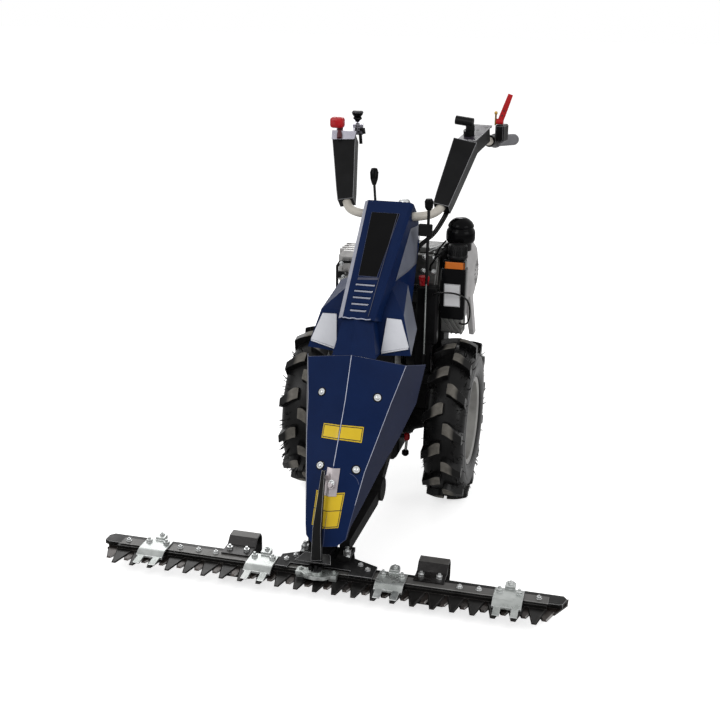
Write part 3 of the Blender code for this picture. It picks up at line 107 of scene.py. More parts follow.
def shader_group(name, output, **numbers):
    """Empty group with a Vector, some named numbers with their defaults, and one number as its output."""
    group = bpy.data.node_groups.new(name, "ShaderNodeTree")
    group.interface.new_socket("Vector", in_out="INPUT", socket_type="NodeSocketVector")
    for label, value in numbers.items():
        socket = group.interface.new_socket(label, in_out="INPUT", socket_type="NodeSocketFloat")
        socket.default_value = value
    group.interface.new_socket(output, in_out="OUTPUT", socket_type="NodeSocketFloat")
    return group, group.nodes.new("NodeGroupInput"), group.nodes.new("NodeGroupOutput")


def add_node(tree, kind, inputs=None, **values):
    """New node with its own settings and the values of its inputs."""
    made = tree.nodes.new(kind)
    for key, value in values.items():
        setattr(made, key, value)
    for key, value in (inputs or {}).items():
        made.inputs[key].default_value = value
    return made


def wire(tree, *routes):
    """Links, each given as (node, output, node, input)."""
    for source, output, target, entry in routes:
        tree.links.new(source.outputs[output], target.inputs[entry])


def mottle_group():
    """Soft cloudy factor from 0 to 1, for slow changes of colour and gloss."""
    group, start, end = shader_group("Mottle", "Factor", Scale=8.0, Low=0.35, High=0.65)
    noise = add_node(group, "ShaderNodeTexNoise", {"Detail": 6.0, "Roughness": 0.62})
    spread = add_node(group, "ShaderNodeMapRange")
    wire(group, (start, "Vector", noise, "Vector"), (start, "Scale", noise, "Scale"),
         (noise, "Fac", spread, "Value"), (start, "Low", spread, "From Min"),
         (start, "High", spread, "From Max"), (spread, "Result", end, "Factor"))
    return group


def grain_group():
    """Fine height: orange peel of paint or sand of a casting, as the scale is set."""
    group, start, end = shader_group("Grain", "Height", Scale=900.0)
    noise = add_node(group, "ShaderNodeTexNoise", {"Detail": 3.0})
    cells = add_node(group, "ShaderNodeTexVoronoi", feature="SMOOTH_F1")
    mix = add_node(group, "ShaderNodeMath", {1: 0.35}, operation="MULTIPLY_ADD")
    for pattern in (noise, cells):
        wire(group, (start, "Vector", pattern, "Vector"), (start, "Scale", pattern, "Scale"))
    wire(group, (cells, "Distance", mix, 0), (noise, "Fac", mix, 2), (mix, "Value", end, "Height"))
    return group


def scratch_group():
    """Mask of short fine scratches and rubbed spots."""
    group, start, end = shader_group("Rubbed marks", "Mask", Scale=30.0, Amount=0.3)
    stretch = add_node(group, "ShaderNodeMapping", {"Scale": (1.0, 7.0, 1.6), "Rotation": (0.5, 0.2, 0.7)})
    noise = add_node(group, "ShaderNodeTexNoise", {"Detail": 5.0})
    patches = add_node(group, "ShaderNodeTexNoise", {"Scale": 11.0})
    limit = add_node(group, "ShaderNodeMapRange", {"From Min": 0.60, "From Max": 0.72})
    areas = add_node(group, "ShaderNodeMapRange", {"From Min": 0.45, "From Max": 0.70})
    both = add_node(group, "ShaderNodeMath", operation="MULTIPLY")
    scaled = add_node(group, "ShaderNodeMath", operation="MULTIPLY", use_clamp=True)
    wire(group, (start, "Vector", stretch, "Vector"), (stretch, "Vector", noise, "Vector"),
         (start, "Scale", noise, "Scale"), (start, "Vector", patches, "Vector"),
         (noise, "Fac", limit, "Value"), (patches, "Fac", areas, "Value"),
         (limit, "Result", both, 0), (areas, "Result", both, 1), (both, "Value", scaled, 0),
         (start, "Amount", scaled, 1), (scaled, "Value", end, "Mask"))
    return group


def tread_group():
    """Mask of the outermost rubber, from the distance to the wheel axle."""
    group, start, end = shader_group("Worn tread", "Mask", Inner=0.2464, Outer=0.2482)
    parts = add_node(group, "ShaderNodeSeparateXYZ")
    shift_y = add_node(group, "ShaderNodeMath", {1: AXLE_Y}, operation="SUBTRACT")
    shift_z = add_node(group, "ShaderNodeMath", {1: TYRE_RADIUS}, operation="SUBTRACT")
    flat = add_node(group, "ShaderNodeCombineXYZ")
    reach = add_node(group, "ShaderNodeVectorMath", operation="LENGTH")
    limit = add_node(group, "ShaderNodeMapRange")
    wire(group, (start, "Vector", parts, "Vector"), (parts, "Y", shift_y, 0), (parts, "Z", shift_z, 0),
         (shift_y, "Value", flat, "Y"), (shift_z, "Value", flat, "Z"), (flat, "Vector", reach, 0),
         (reach, "Value", limit, "Value"), (start, "Inner", limit, "From Min"),
         (start, "Outer", limit, "From Max"), (limit, "Result", end, "Mask"))
    return group


GROUPS = {}
MADE = {}


def shared(name, maker):
    if name not in GROUPS:
        GROUPS[name] = maker()
    return GROUPS[name]


# Finishes: colour, second colour, roughness, its spread, metallic, gloss, grain scale, grain depth, rubs
FINISHES = {
    "blue_paint": ((0.003, 0.0115, 0.051), (0.004, 0.0142, 0.060), 0.38, 0.04, 0.0, 0.06, 700, 0.04, 0.05),
    # Lighter blue that paints a highlight on the hoods' rounded edges and on the embossed arc
    "blue_edge": ((0.045, 0.058, 0.120), (0.075, 0.090, 0.170), 0.30, 0.05, 0.0, 0.2, 700, 0.02, 0.3),
    # Pale grey-lilac that paints the highlight on creases and on the ridge's lip
    "crease": ((0.34, 0.36, 0.46), (0.48, 0.50, 0.60), 0.30, 0.05, 0.0, 0.4, 700, 0.02, 0.3),
    # Grey that paints the white reflection on steep hood flanks and on the neck's side
    "grey_flank": ((0.125, 0.135, 0.170), (0.155, 0.166, 0.205), 0.40, 0.05, 0.0, 0.15, 700, 0.04, 0.1),
    # Greyer blue that paints how light falls on the lower hood's right flank
    "flank_blue": ((0.0100, 0.0140, 0.0380), (0.0150, 0.0200, 0.0480), 0.40, 0.05, 0.0, 0.08, 700, 0.04, 0.1),
    # Grey that paints the reflection on the lower hood's left flank
    "flank_grey": ((0.050, 0.052, 0.056), (0.070, 0.072, 0.078), 0.40, 0.05, 0.0, 0.12, 700, 0.04, 0.1),
    # Grey of the window sill, also used for the painted highlight line on the ridge's right edge
    "sill_grey": ((0.055, 0.058, 0.090), (0.080, 0.084, 0.120), 0.40, 0.05, 0.0, 0.15, 700, 0.02, 0.1),
    # Pale lilac that paints a reflection on the ridge's left slope and the highlight on the louvre lips
    "lilac": ((0.27, 0.28, 0.34), (0.36, 0.37, 0.43), 0.40, 0.05, 0.0, 0.3, 700, 0.02, 0.1),
    "bracket_metal": ((0.32, 0.29, 0.30), (0.44, 0.40, 0.41), 0.40, 0.06, 0.5, 0.3, 700, 0.04, 0.3),
    "black_paint": ((0.0045, 0.0045, 0.0048), (0.008, 0.008, 0.0084), 0.38, 0.08, 0.0, 0.10, 900, 0.06, 0.35),
    # Light grey that paints a highlight on the rounded edges of black parts
    "black_edge": ((0.24, 0.24, 0.245), (0.36, 0.36, 0.365), 0.34, 0.08, 0.2, 0.4, 900, 0.05, 0.3),
    "black_cast": ((0.0060, 0.0060, 0.0064), (0.0110, 0.0108, 0.0106), 0.52, 0.10, 0.0, 0.12, 420, 0.30, 0.4),
    "black_plastic": ((0.0042, 0.0042, 0.0045), (0.0068, 0.0068, 0.0072), 0.36, 0.06, 0.0, 0.09, 1500, 0.08,
                      0.12),
    # Lighter grey that paints a highlight on the edges of black plastic parts
    "plastic_edge": ((0.16, 0.16, 0.17), (0.26, 0.26, 0.27), 0.34, 0.06, 0.0, 0.3, 900, 0.05, 0.1),
    "gloss_black": ((0.0022, 0.0022, 0.0026), (0.0032, 0.0032, 0.0036), 0.14, 0.04, 0.0, 0.05, 500, 0.02,
                    0.08),
    "cable_black": ((0.0035, 0.0035, 0.0037), (0.0055, 0.0055, 0.0057), 0.22, 0.05, 0.0, 0.22, 700, 0.04,
                    0.1),
    "oiled_steel": ((0.0085, 0.0085, 0.0092), (0.0160, 0.0158, 0.0155), 0.38, 0.08, 0.6, 0.2, 800, 0.08, 0.5),
    "satin_black": ((0.008, 0.0075, 0.0075), (0.020, 0.0185, 0.0185), 0.28, 0.08, 0.2, 0.15, 800, 0.06, 0.5),
    "knife_black": ((0.005, 0.0048, 0.0047), (0.010, 0.0095, 0.0092), 0.34, 0.08, 0.15, 0.10, 800, 0.06, 0.5),
    "blade_edge": ((0.070, 0.064, 0.060), (0.140, 0.130, 0.122), 0.34, 0.08, 0.5, 0.30, 900, 0.05, 0.4),
    "blade_brown": ((0.016, 0.0125, 0.0110), (0.038, 0.031, 0.028), 0.30, 0.08, 0.6, 0.20, 800, 0.06, 0.5),
    "ground_steel": ((0.19, 0.18, 0.175), (0.32, 0.31, 0.30), 0.36, 0.10, 0.7, 0.4, 1200, 0.08, 0.5),
    "zinc": ((0.26, 0.278, 0.268), (0.46, 0.478, 0.466), 0.30, 0.10, 0.7, 0.4, 600, 0.10, 0.4),
    # Bright zinc of bolts, nuts and rods, also painted as a highlight on the edges of clamps and plates
    "bright_zinc": ((0.42, 0.43, 0.43), (0.60, 0.61, 0.61), 0.26, 0.08, 0.85, 0.5, 900, 0.05, 0.3),
    # Dark grey of the rail and the tank film's border, also painted on the skids' tops as light falling on
    # them
    "rail_grey": ((0.060, 0.058, 0.055), (0.105, 0.102, 0.098), 0.40, 0.08, 0.2, 0.3, 700, 0.06, 0.3),
    # Light grey that paints a highlight on the rail's rounded edges
    "rail_light": ((0.24, 0.24, 0.235), (0.34, 0.34, 0.335), 0.38, 0.08, 0.3, 0.35, 700, 0.06, 0.3),
    "tube_paint": ((0.45, 0.42, 0.37), (0.53, 0.50, 0.445), 0.38, 0.06, 0.0, 0.4, 700, 0.04, 0.2),
    "plate_lilac": ((0.38, 0.37, 0.43), (0.50, 0.49, 0.55), 0.34, 0.08, 0.7, 0.4, 700, 0.06, 0.3),
    "plate_dark": ((0.022, 0.018, 0.026), (0.040, 0.033, 0.046), 0.34, 0.08, 0.0, 0.2, 700, 0.06, 0.3),
    "pale_paint": ((0.36, 0.35, 0.35), (0.46, 0.45, 0.45), 0.42, 0.08, 0.0, 0.35, 500, 0.06, 0.3),
    "rim_paint": ((0.24, 0.235, 0.225), (0.34, 0.335, 0.32), 0.36, 0.10, 0.2, 0.4, 500, 0.08, 0.5),
    # Cast metal of the carburettor, also painted as a highlight on the engine's rounded edges and on the
    # crankcase's front faces
    "cast_metal": ((0.17, 0.17, 0.165), (0.32, 0.32, 0.31), 0.44, 0.12, 0.6, 0.4, 380, 0.40, 0.35),
    "engine_dark": ((0.020, 0.020, 0.0195), (0.070, 0.069, 0.066), 0.40, 0.10, 0.4, 0.3, 380, 0.35, 0.6),
    "muffler_steel": ((0.27, 0.265, 0.26), (0.44, 0.43, 0.42), 0.34, 0.12, 0.7, 0.4, 500, 0.08, 0.4),
    "red_plastic": ((0.36, 0.006, 0.010), (0.46, 0.010, 0.014), 0.28, 0.06, 0.0, 0.22, 900, 0.05, 0.15),
    "red_paint": ((0.34, 0.008, 0.010), (0.45, 0.012, 0.015), 0.34, 0.08, 0.0, 0.2, 800, 0.05, 0.3),
    # Light red that paints a highlight on the brake lever's rounded edges
    "red_edge": ((0.52, 0.10, 0.09), (0.64, 0.16, 0.14), 0.32, 0.08, 0.0, 0.3, 800, 0.05, 0.3),
    "dark_red": ((0.055, 0.006, 0.010), (0.080, 0.010, 0.014), 0.40, 0.06, 0.0, 0.3, 900, 0.05, 0.1),
    "grip_rubber": ((0.15, 0.15, 0.16), (0.20, 0.20, 0.21), 0.60, 0.08, 0.0, 0.2, 900, 0.15, 0.2),
    "lamp_face": ((0.58, 0.59, 0.63), (0.66, 0.67, 0.71), 0.38, 0.05, 0.0, 0.4, 900, 0.02, 0.05),
    "brass": ((0.42, 0.25, 0.06), (0.56, 0.36, 0.10), 0.32, 0.08, 0.8, 0.4, 900, 0.05, 0.3),
    "yellow_film": ((0.62, 0.42, 0.012), (0.68, 0.47, 0.016), 0.38, 0.05, 0.0, 0.3, 900, 0.02, 0.05),
    # Dark print on films, also used as painted shade in holes and slots
    "dark_print": ((0.010, 0.010, 0.009), (0.016, 0.016, 0.014), 0.42, 0.05, 0.0, 0.3, 900, 0.02, 0.05),
    "white_film": ((0.52, 0.52, 0.53), (0.60, 0.60, 0.61), 0.40, 0.05, 0.0, 0.35, 900, 0.02, 0.05),
    "orange_film": ((0.46, 0.105, 0.008), (0.58, 0.15, 0.012), 0.40, 0.05, 0.0, 0.3, 900, 0.02, 0.05),
}
# Colour of the rubbed marks, where it isn't half way from the second colour to a mid grey
RUBBED = {
    "blue_paint": (0.020, 0.032, 0.090), "black_paint": (0.045, 0.045, 0.045),
    "black_cast": (0.045, 0.044, 0.042), "oiled_steel": (0.14, 0.135, 0.13),
    "cast_metal": (0.10, 0.095, 0.09), "rim_paint": (0.24, 0.23, 0.22),
    "red_paint": (0.16, 0.03, 0.03), "tube_paint": (0.26, 0.25, 0.23),
    "muffler_steel": (0.22, 0.19, 0.16), "black_plastic": (0.020, 0.020, 0.021),
    "gloss_black": (0.010, 0.010, 0.011),
}
MID_GREY = 0.25
SMOOTHEST = 0.04
CLOUD_SCALE = 14.0
GRAIN_HEIGHT = 0.0006

RUBBER = ((0.0040, 0.0040, 0.0043), (0.0080, 0.0079, 0.0078))
TREAD_DUST = ((0.110, 0.103, 0.090), (0.205, 0.192, 0.170))
RUBBER_GLOSS = 0.15
RUBBER_ROUGHNESS = (0.30, 0.70)
RUBBER_CLOUDS = 28.0
RUBBER_GRAIN = 520.0
RUBBER_DEPTH = 0.25
RUBBER_HEIGHT = 0.0008


def new_material(name, gloss):
    """Material kept in MADE; gives its tree, its shader and the piece's coordinates."""
    made = MADE[name] = bpy.data.materials.new(f"{name}_finish")
    made.use_nodes = True
    tree = made.node_tree
    shader = tree.nodes["Principled BSDF"]
    shader.inputs["Specular IOR Level"].default_value = gloss
    return tree, shader, add_node(tree, "ShaderNodeTexCoord")


def placed(tree, place, name, maker, **values):
    """A shared group in a material's tree, on the piece's own coordinates."""
    found = add_node(tree, "ShaderNodeGroup", values, node_tree=shared(name, maker))
    wire(tree, (place, "Object", found, "Vector"))
    return found


def colour_mix(tree, factor, *ends):
    """Mix of two colours by a factor; each is three numbers or the output of another mix."""
    found = add_node(tree, "ShaderNodeMix", data_type="RGBA")
    tree.links.new(factor, found.inputs["Factor"])
    for entry, colour in zip("AB", ends):
        if isinstance(colour, tuple):
            found.inputs[entry].default_value = (*colour, 1.0)
        else:
            tree.links.new(colour, found.inputs[entry])
    return found.outputs["Result"]


def surface(tree, shader, factor, roughness, grain, depth, height):
    """Roughness between two values by a factor, and the bump of a grain."""
    shine = add_node(tree, "ShaderNodeMapRange", {"To Min": roughness[0], "To Max": roughness[1]})
    tree.links.new(factor, shine.inputs["Value"])
    bump = add_node(tree, "ShaderNodeBump", {"Strength": depth, "Distance": height})
    wire(tree, (shine, "Result", shader, "Roughness"), (grain, "Height", bump, "Height"),
         (bump, "Normal", shader, "Normal"))


def finish(name):
    """The material of that finish, made on first use."""
    if name in MADE:
        return MADE[name]
    colour, second, rough, spread, metal, gloss, grain_scale, grain_depth, rubs = FINISHES[name]
    tree, shader, place = new_material(name, gloss)
    MADE[name].diffuse_color = (*colour, 1.0)
    shader.inputs["Metallic"].default_value = metal
    clouds = placed(tree, place, "Mottle", mottle_group, Scale=CLOUD_SCALE).outputs["Factor"]
    marks = placed(tree, place, "Rubbed marks", scratch_group, Amount=rubs).outputs["Mask"]
    grain = placed(tree, place, "Grain", grain_group, Scale=grain_scale)
    rubbed = RUBBED.get(name, tuple(0.5 * (value + MID_GREY) for value in second))
    worn = colour_mix(tree, marks, colour_mix(tree, clouds, colour, second), rubbed)
    tree.links.new(worn, shader.inputs["Base Color"])
    limits = (max(SMOOTHEST, rough - spread), rough + spread)
    surface(tree, shader, clouds, limits, grain, grain_depth, GRAIN_HEIGHT)
    return MADE[name]


def tyre_finish():
    """Black rubber, pale and dusty where the lugs meet the ground."""
    if "tyre_rubber" in MADE:
        return MADE["tyre_rubber"]
    tree, shader, place = new_material("tyre_rubber", RUBBER_GLOSS)
    tread = placed(tree, place, "Worn tread", tread_group).outputs["Mask"]
    clouds = placed(tree, place, "Mottle", mottle_group, Scale=RUBBER_CLOUDS).outputs["Factor"]
    grain = placed(tree, place, "Grain", grain_group, Scale=RUBBER_GRAIN)
    rubber = colour_mix(tree, clouds, *RUBBER)
    dusty = colour_mix(tree, clouds, *TREAD_DUST)
    tree.links.new(colour_mix(tree, tread, rubber, dusty), shader.inputs["Base Color"])
    surface(tree, shader, tread, RUBBER_ROUGHNESS, grain, RUBBER_DEPTH, RUBBER_HEIGHT)
    return MADE["tyre_rubber"]


# Mesh helpers


def to_object(data, name, finishes):
    mesh = bpy.data.meshes.new(name)
    data.to_mesh(mesh)
    data.free()
    for item in finishes:
        mesh.materials.append(finish(item) if isinstance(item, str) else item)
    mesh.shade_smooth()
    obj = bpy.data.objects.new(name, mesh)
    bpy.context.scene.collection.objects.link(obj)
    return obj


def sharp(obj, degrees):
    """Keeps the edges over an angle sharp in shading."""
    obj.data.set_sharp_from_angle(angle=math.radians(degrees))
    return obj


def plain(obj):
    """Turns the object's evaluated shape into its own mesh and drops the modifiers."""
    bpy.context.view_layer.update()
    graph = bpy.context.evaluated_depsgraph_get()
    mesh = bpy.data.meshes.new_from_object(obj.evaluated_get(graph))
    mesh.name = obj.name
    old = obj.data
    obj.modifiers.clear()
    obj.data = mesh
    if old.users == 0:
        bpy.data.meshes.remove(old)
    return obj


def rounded(obj, width, segments=2, angle=35.0, edge_slot=-1):
    """Rounds the sharp edges and keeps the flat faces flat in shading."""
    if width:
        bevel = obj.modifiers.new("edges", "BEVEL")
        bevel.width = width
        bevel.segments = segments
        bevel.limit_method = "ANGLE"
        bevel.angle_limit = math.radians(angle)
        bevel.use_clamp_overlap = True
        bevel.material = edge_slot
    normals = obj.modifiers.new("normals", "WEIGHTED_NORMAL")
    normals.weight = 50
    normals.keep_sharp = False
    return plain(obj)


def joined_meshes(objs, name):
    """One object from several plain ones; their material slots are kept."""
    data = bmesh.new()
    finishes = []
    for obj in objs:
        start = len(data.faces)
        data.from_mesh(obj.data)
        data.faces.ensure_lookup_table()
        slots = []
        for mat in obj.data.materials:
            if mat not in finishes:
                finishes.append(mat)
            slots.append(finishes.index(mat))
        for face in data.faces[start:]:
            face.material_index = slots[min(face.material_index, len(slots) - 1)]
        mesh = obj.data
        bpy.data.objects.remove(obj)
        bpy.data.meshes.remove(mesh)
    return to_object(data, name, finishes)


def settle(obj, body="machine", replaced=()):
    """Puts a finished piece on its body and hides the nodes that it stands for."""
    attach(obj, body)
    if replaced:
        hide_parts(*replaced)
    return obj


def merged_copy(node):
    """Mesh of a node of the model with its corners merged and its flat faces whole."""
    data = bmesh.new()
    data.from_mesh(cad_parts[node].data)
    bmesh.ops.remove_doubles(data, verts=data.verts[:], dist=2e-5)
    bmesh.ops.dissolve_limit(
        data, angle_limit=math.radians(0.4), verts=data.verts[:], edges=data.edges[:], delimit={"NORMAL"}
    )
    return data


def dressed(node, finishes, width=None, segments=2, body="machine", angle=35.0, edge_slot=-1,
            pick=None, repaint=None):
    """A node of the model with rounded edges and its finishes; without a width, the Edge setting holds.

    pick gives each face's place in finishes before the edges are rounded, and repaint after it.
    """
    data = merged_copy(node)
    if pick:
        for face in data.faces:
            face.material_index = pick(from_axle(face.calc_center_median()), face.normal)
    obj = to_object(data, f"{node}_finished", finishes)
    rounded(obj, bpy.context.scene.mower.edge if width is None else width, segments, angle, edge_slot)
    if repaint:
        for face in obj.data.polygons:
            face.material_index = repaint(from_axle(face.center), face.normal, face.material_index)
    return settle(obj, body, (node,))


def aim(direction, spin=0.0):
    """Rotation that points +Z along a direction."""
    return direction.to_track_quat("Z", "Y").to_matrix() @ Matrix.Rotation(spin, 3, "Z")


def turns(count, start=0.0):
    """Angles spaced evenly round a circle."""
    return [2 * math.pi * i / count + start for i in range(count)]


def around(angle, radius=1.0):
    """Point at an angle round the wheels' axis."""
    return Vector((0, radius * math.cos(angle), radius * math.sin(angle)))


def lathe(profile, steps=64):
    """Closed mesh of (radius, height) pairs turned about Z; both ends lie on the axis or close as a ring."""
    data = bmesh.new()
    rows = []
    for radius, height in profile:
        if radius < 1e-7:
            rows.append([data.verts.new((0, 0, height))])
            continue
        row = [(radius * math.cos(angle), radius * math.sin(angle), height) for angle in turns(steps)]
        rows.append([data.verts.new(point) for point in row])
    pairs = list(zip(rows, rows[1:]))
    if profile[0][0] > 1e-7:
        pairs.append((rows[-1], rows[0]))
    for first, second in pairs:
        for i in range(steps):
            j = (i + 1) % steps
            if len(first) == 1 and len(second) == 1:
                continue
            if len(first) == 1:
                data.faces.new((first[0], second[j], second[i]))
            elif len(second) == 1:
                data.faces.new((first[i], first[j], second[0]))
            else:
                data.faces.new((first[i], first[j], second[j], second[i]))
    bmesh.ops.recalc_face_normals(data, faces=data.faces[:])
    return data


def moved(data, place, turn=None):
    matrix = Matrix.Translation(place)
    if turn is not None:
        matrix = matrix @ turn.to_4x4()
    bmesh.ops.transform(data, matrix=matrix, verts=data.verts[:])
    return data


def loft(rows):
    """Closed mesh over rows of points, all of one length."""
    data = bmesh.new()
    loops = [[data.verts.new(point) for point in row] for row in rows]
    data.faces.new(loops[0])
    data.faces.new(loops[-1])
    for first, second in zip(loops, loops[1:]):
        for i in range(len(first)):
            j = (i + 1) % len(first)
            data.faces.new((first[i], first[j], second[j], second[i]))
    bmesh.ops.recalc_face_normals(data, faces=data.faces[:])
    return data


def block(name, size, place, paint, width, segments, turn=None):
    """Box with rounded edges."""
    data = bmesh.new()
    bmesh.ops.create_cube(data, size=1.0)
    bmesh.ops.scale(data, vec=size, verts=data.verts[:])
    return rounded(to_object(moved(data, place, turn), name, [paint]), width, segments)


def smooth_line(corners, count):
    """Points along a smooth line through the corners."""
    points = [Vector(point) for point in corners]
    points = [2 * points[0] - points[1], *points, 2 * points[-1] - points[-2]]
    found = []
    for i in range(1, len(points) - 2):
        a, b, c, d = points[i - 1:i + 3]
        for step in range(count):
            t = step / count
            found.append(
                0.5 * ((2 * b) + (c - a) * t + (2 * a - 5 * b + 4 * c - d) * t ** 2
                       + (3 * b - a - 3 * c + d) * t ** 3)
            )
    found.append(points[-2])
    return found


# Geometry trees


def geometry_group(name, inputs):
    group = bpy.data.node_groups.new(name, "GeometryNodeTree")
    group.interface.new_socket("Geometry", in_out="INPUT", socket_type="NodeSocketGeometry")
    for label, kind in inputs:
        group.interface.new_socket(label, in_out="INPUT", socket_type=kind)
    group.interface.new_socket("Geometry", in_out="OUTPUT", socket_type="NodeSocketGeometry")
    return group, group.nodes.new("NodeGroupInput"), group.nodes.new("NodeGroupOutput")


def copies_group():
    """Copies a shape to every point, turned and sized by the points' own values."""
    group, start, end = geometry_group(
        "Copies on points", [("Shape", "NodeSocketObject"), ("Material", "NodeSocketMaterial")]
    )
    shape = add_node(group, "GeometryNodeObjectInfo", {"As Instance": True})
    turn_here = add_node(group, "GeometryNodeInputNamedAttribute", {"Name": "turn"}, data_type="FLOAT_VECTOR")
    size_here = add_node(group, "GeometryNodeInputNamedAttribute", {"Name": "size"}, data_type="FLOAT_VECTOR")
    turn = add_node(group, "FunctionNodeEulerToRotation")
    place = add_node(group, "GeometryNodeInstanceOnPoints")
    real = add_node(group, "GeometryNodeRealizeInstances")
    paint = add_node(group, "GeometryNodeSetMaterial")
    wire(group, (start, "Shape", shape, "Object"), (start, "Geometry", place, "Points"),
         (shape, "Geometry", place, "Instance"), (turn_here, "Attribute", turn, "Euler"),
         (turn, "Rotation", place, "Rotation"), (size_here, "Attribute", place, "Scale"),
         (place, "Instances", real, "Geometry"), (real, "Geometry", paint, "Geometry"),
         (start, "Material", paint, "Material"), (paint, "Geometry", end, "Geometry"))
    return group


def sweep_group():
    """Round tube along a line of edges; each point's own value gives the tube's radius there."""
    group, start, end = geometry_group(
        "Tube along a line", [("Sides", "NodeSocketInt"), ("Material", "NodeSocketMaterial")]
    )
    curve = add_node(group, "GeometryNodeMeshToCurve")
    radius = add_node(group, "GeometryNodeInputNamedAttribute", {"Name": "radius_here"}, data_type="FLOAT")
    wide = add_node(group, "GeometryNodeSetCurveRadius")
    ring = add_node(group, "GeometryNodeCurvePrimitiveCircle", {"Radius": 1.0}, mode="RADIUS")
    sweep = add_node(group, "GeometryNodeCurveToMesh", {"Fill Caps": True})
    real = add_node(group, "GeometryNodeRealizeInstances")
    paint = add_node(group, "GeometryNodeSetMaterial")
    wire(group, (start, "Geometry", curve, "Mesh"), (curve, "Curve", wide, "Curve"),
         (radius, "Attribute", wide, "Radius"), (start, "Sides", ring, "Resolution"),
         (wide, "Curve", sweep, "Curve"), (ring, "Curve", sweep, "Profile Curve"),
         (sweep, "Mesh", real, "Geometry"), (real, "Geometry", paint, "Geometry"),
         (start, "Material", paint, "Material"), (paint, "Geometry", end, "Geometry"))
    if "Scale" in sweep.inputs:
        wire(group, (radius, "Attribute", sweep, "Scale"))
    return group


def grown(name, points, edges, measures, group, values):
    """Plain mesh that a geometry tree grows on points with measures, which are then dropped."""
    mesh = bpy.data.meshes.new(name)
    mesh.from_pydata([tuple(point) for point in points], edges, [])
    for label, kind, field, numbers in measures:
        mesh.attributes.new(label, kind, "POINT").data.foreach_set(field, numbers)
    obj = bpy.data.objects.new(name, mesh)
    bpy.context.scene.collection.objects.link(obj)
    change = obj.modifiers.new(group.name, "NODES")
    change.node_group = group
    for item in group.interface.items_tree:
        if item.in_out == "INPUT" and item.name in values:
            change[item.identifier] = values[item.name]
    plain(obj)
    for label, _, _, _ in measures:
        if label in obj.data.attributes:
            obj.data.attributes.remove(obj.data.attributes[label])
    return obj


def copies(name, shape, places, paint):
    """Plain mesh of copies of a shape; places are (point, 3 by 3 rotation, size)."""
    measures = (
        ("turn", "FLOAT_VECTOR", "vector", [v for _, turn, _ in places for v in turn.to_euler()]),
        ("size", "FLOAT_VECTOR", "vector", [v for _, _, size in places for v in (size, size, size)]),
    )
    values = {"Shape": shape, "Material": finish(paint) if isinstance(paint, str) else paint}
    points = [point for point, _, _ in places]
    obj = grown(name, points, [], measures, shared("Copies on points", copies_group), values)
    old = shape.data
    bpy.data.objects.remove(shape)
    bpy.data.meshes.remove(old)
    return obj


def tube(name, points, radius, paint, sides=20):
    """Plain round tube along points; radius is one number or one for each point."""
    edges = [(i, i + 1) for i in range(len(points) - 1)]
    numbers = list(radius) if hasattr(radius, "__len__") else [radius] * len(points)
    measures = (("radius_here", "FLOAT", "value", numbers),)
    values = {"Sides": sides, "Material": finish(paint)}
    obj = grown(name, points, edges, measures, shared("Tube along a line", sweep_group), values)
    obj.data.shade_smooth()
    return sharp(obj, 50)


def rod(points, radius, paint, sides):
    """Tube along points that are written from the axle."""
    return tube("rod", [at(*point) for point in points], radius, paint, sides)


def upright(x, y, *heights):
    return [(x, y, z) for z in heights]


def set_copies(name, shape, places, paint, body="machine"):
    return settle(copies(name, shape, places, paint), body)


# Bolts, marks and films


def hex_bolt(across=0.013, height=0.006, washer=0.0085, stud=0.004):
    """Hexagon head with a chamfer, on a washer, with the end of a stud."""
    corner = across * 0.577
    head = lathe([(0, 0.0016), (corner, 0.0016), (corner, height), (across * 0.48, height + 0.001),
                  (0, height + 0.001)], steps=6)
    ring = lathe([(0, 0), (washer, 0), (washer, 0.0013), (washer - 0.0004, 0.0017), (0, 0.0017)], steps=20)
    tip = height + stud
    end = lathe([(0, height), (across * 0.27, height), (across * 0.27, tip), (across * 0.2, tip + 0.0008),
                 (0, tip + 0.0008)], steps=12)
    parts = [rounded(to_object(head, "head", ["zinc"]), 0.0004, 1), to_object(ring, "ring", ["zinc"]),
             to_object(end, "end", ["zinc"])]
    return sharp(joined_meshes(parts, "hex_bolt"), 35)


def round_bolt(radius=0.0062, washer=0.0095):
    """Low round head with a socket, on a washer."""
    profile = [(0, 0), (washer, 0), (washer, 0.0012), (washer - 0.0005, 0.0017), (radius + 0.0004, 0.0017),
               (radius, 0.0022), (radius, 0.0042), (radius - 0.0012, 0.0056), (0.0030, 0.0060),
               (0.0028, 0.0036), (0, 0.0034)]
    return sharp(to_object(lathe(profile, 28), "round_bolt", ["zinc"]), 40)


def surface_of(node):
    """Search tree of a node of the model, for laying films and bolts on it."""
    data = bmesh.new()
    data.from_mesh(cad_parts[node].data)
    tree = BVHTree.FromBMesh(data)
    data.free()
    return tree


def met(tree, point, look=BACKWARD):
    """Place and normal of the surface that a look through a point meets, from half a metre before it."""
    place, normal, _, _ = tree.ray_cast(at(*point) - look * 0.5, look)
    if place is None:
        raise ValueError(f"nothing lies behind {tuple(point)}")
    return place, normal if normal.dot(look) < 0 else -normal


def nearest(node, points):
    """Places for copies that stand on a node, nearest to each point."""
    tree = surface_of(node)
    places = []
    for point in points:
        place, normal, _, _ = tree.find_nearest(at(*point))
        places.append((place, aim(normal), 1.0))
    return places


def spots(name, radius, height, places, paint, body="machine"):
    """Low round discs at some places, such as washers, or dark discs that paint the shade in holes."""
    profile = [(0, 0), (radius, 0), (radius, height * 0.6), (radius - height * 0.4, height), (0, height)]
    shape = sharp(to_object(lathe(profile, 20), "disc", [paint]), 40)
    return set_copies(name, shape, places, paint, body)


def lines(name, routes, paint, body="machine", sides=10):
    """Thin rounded lines along (radius, points) routes."""
    parts = [rod(points, radius, paint, sides) for radius, points in routes]
    return settle(joined_meshes(parts, name), body)


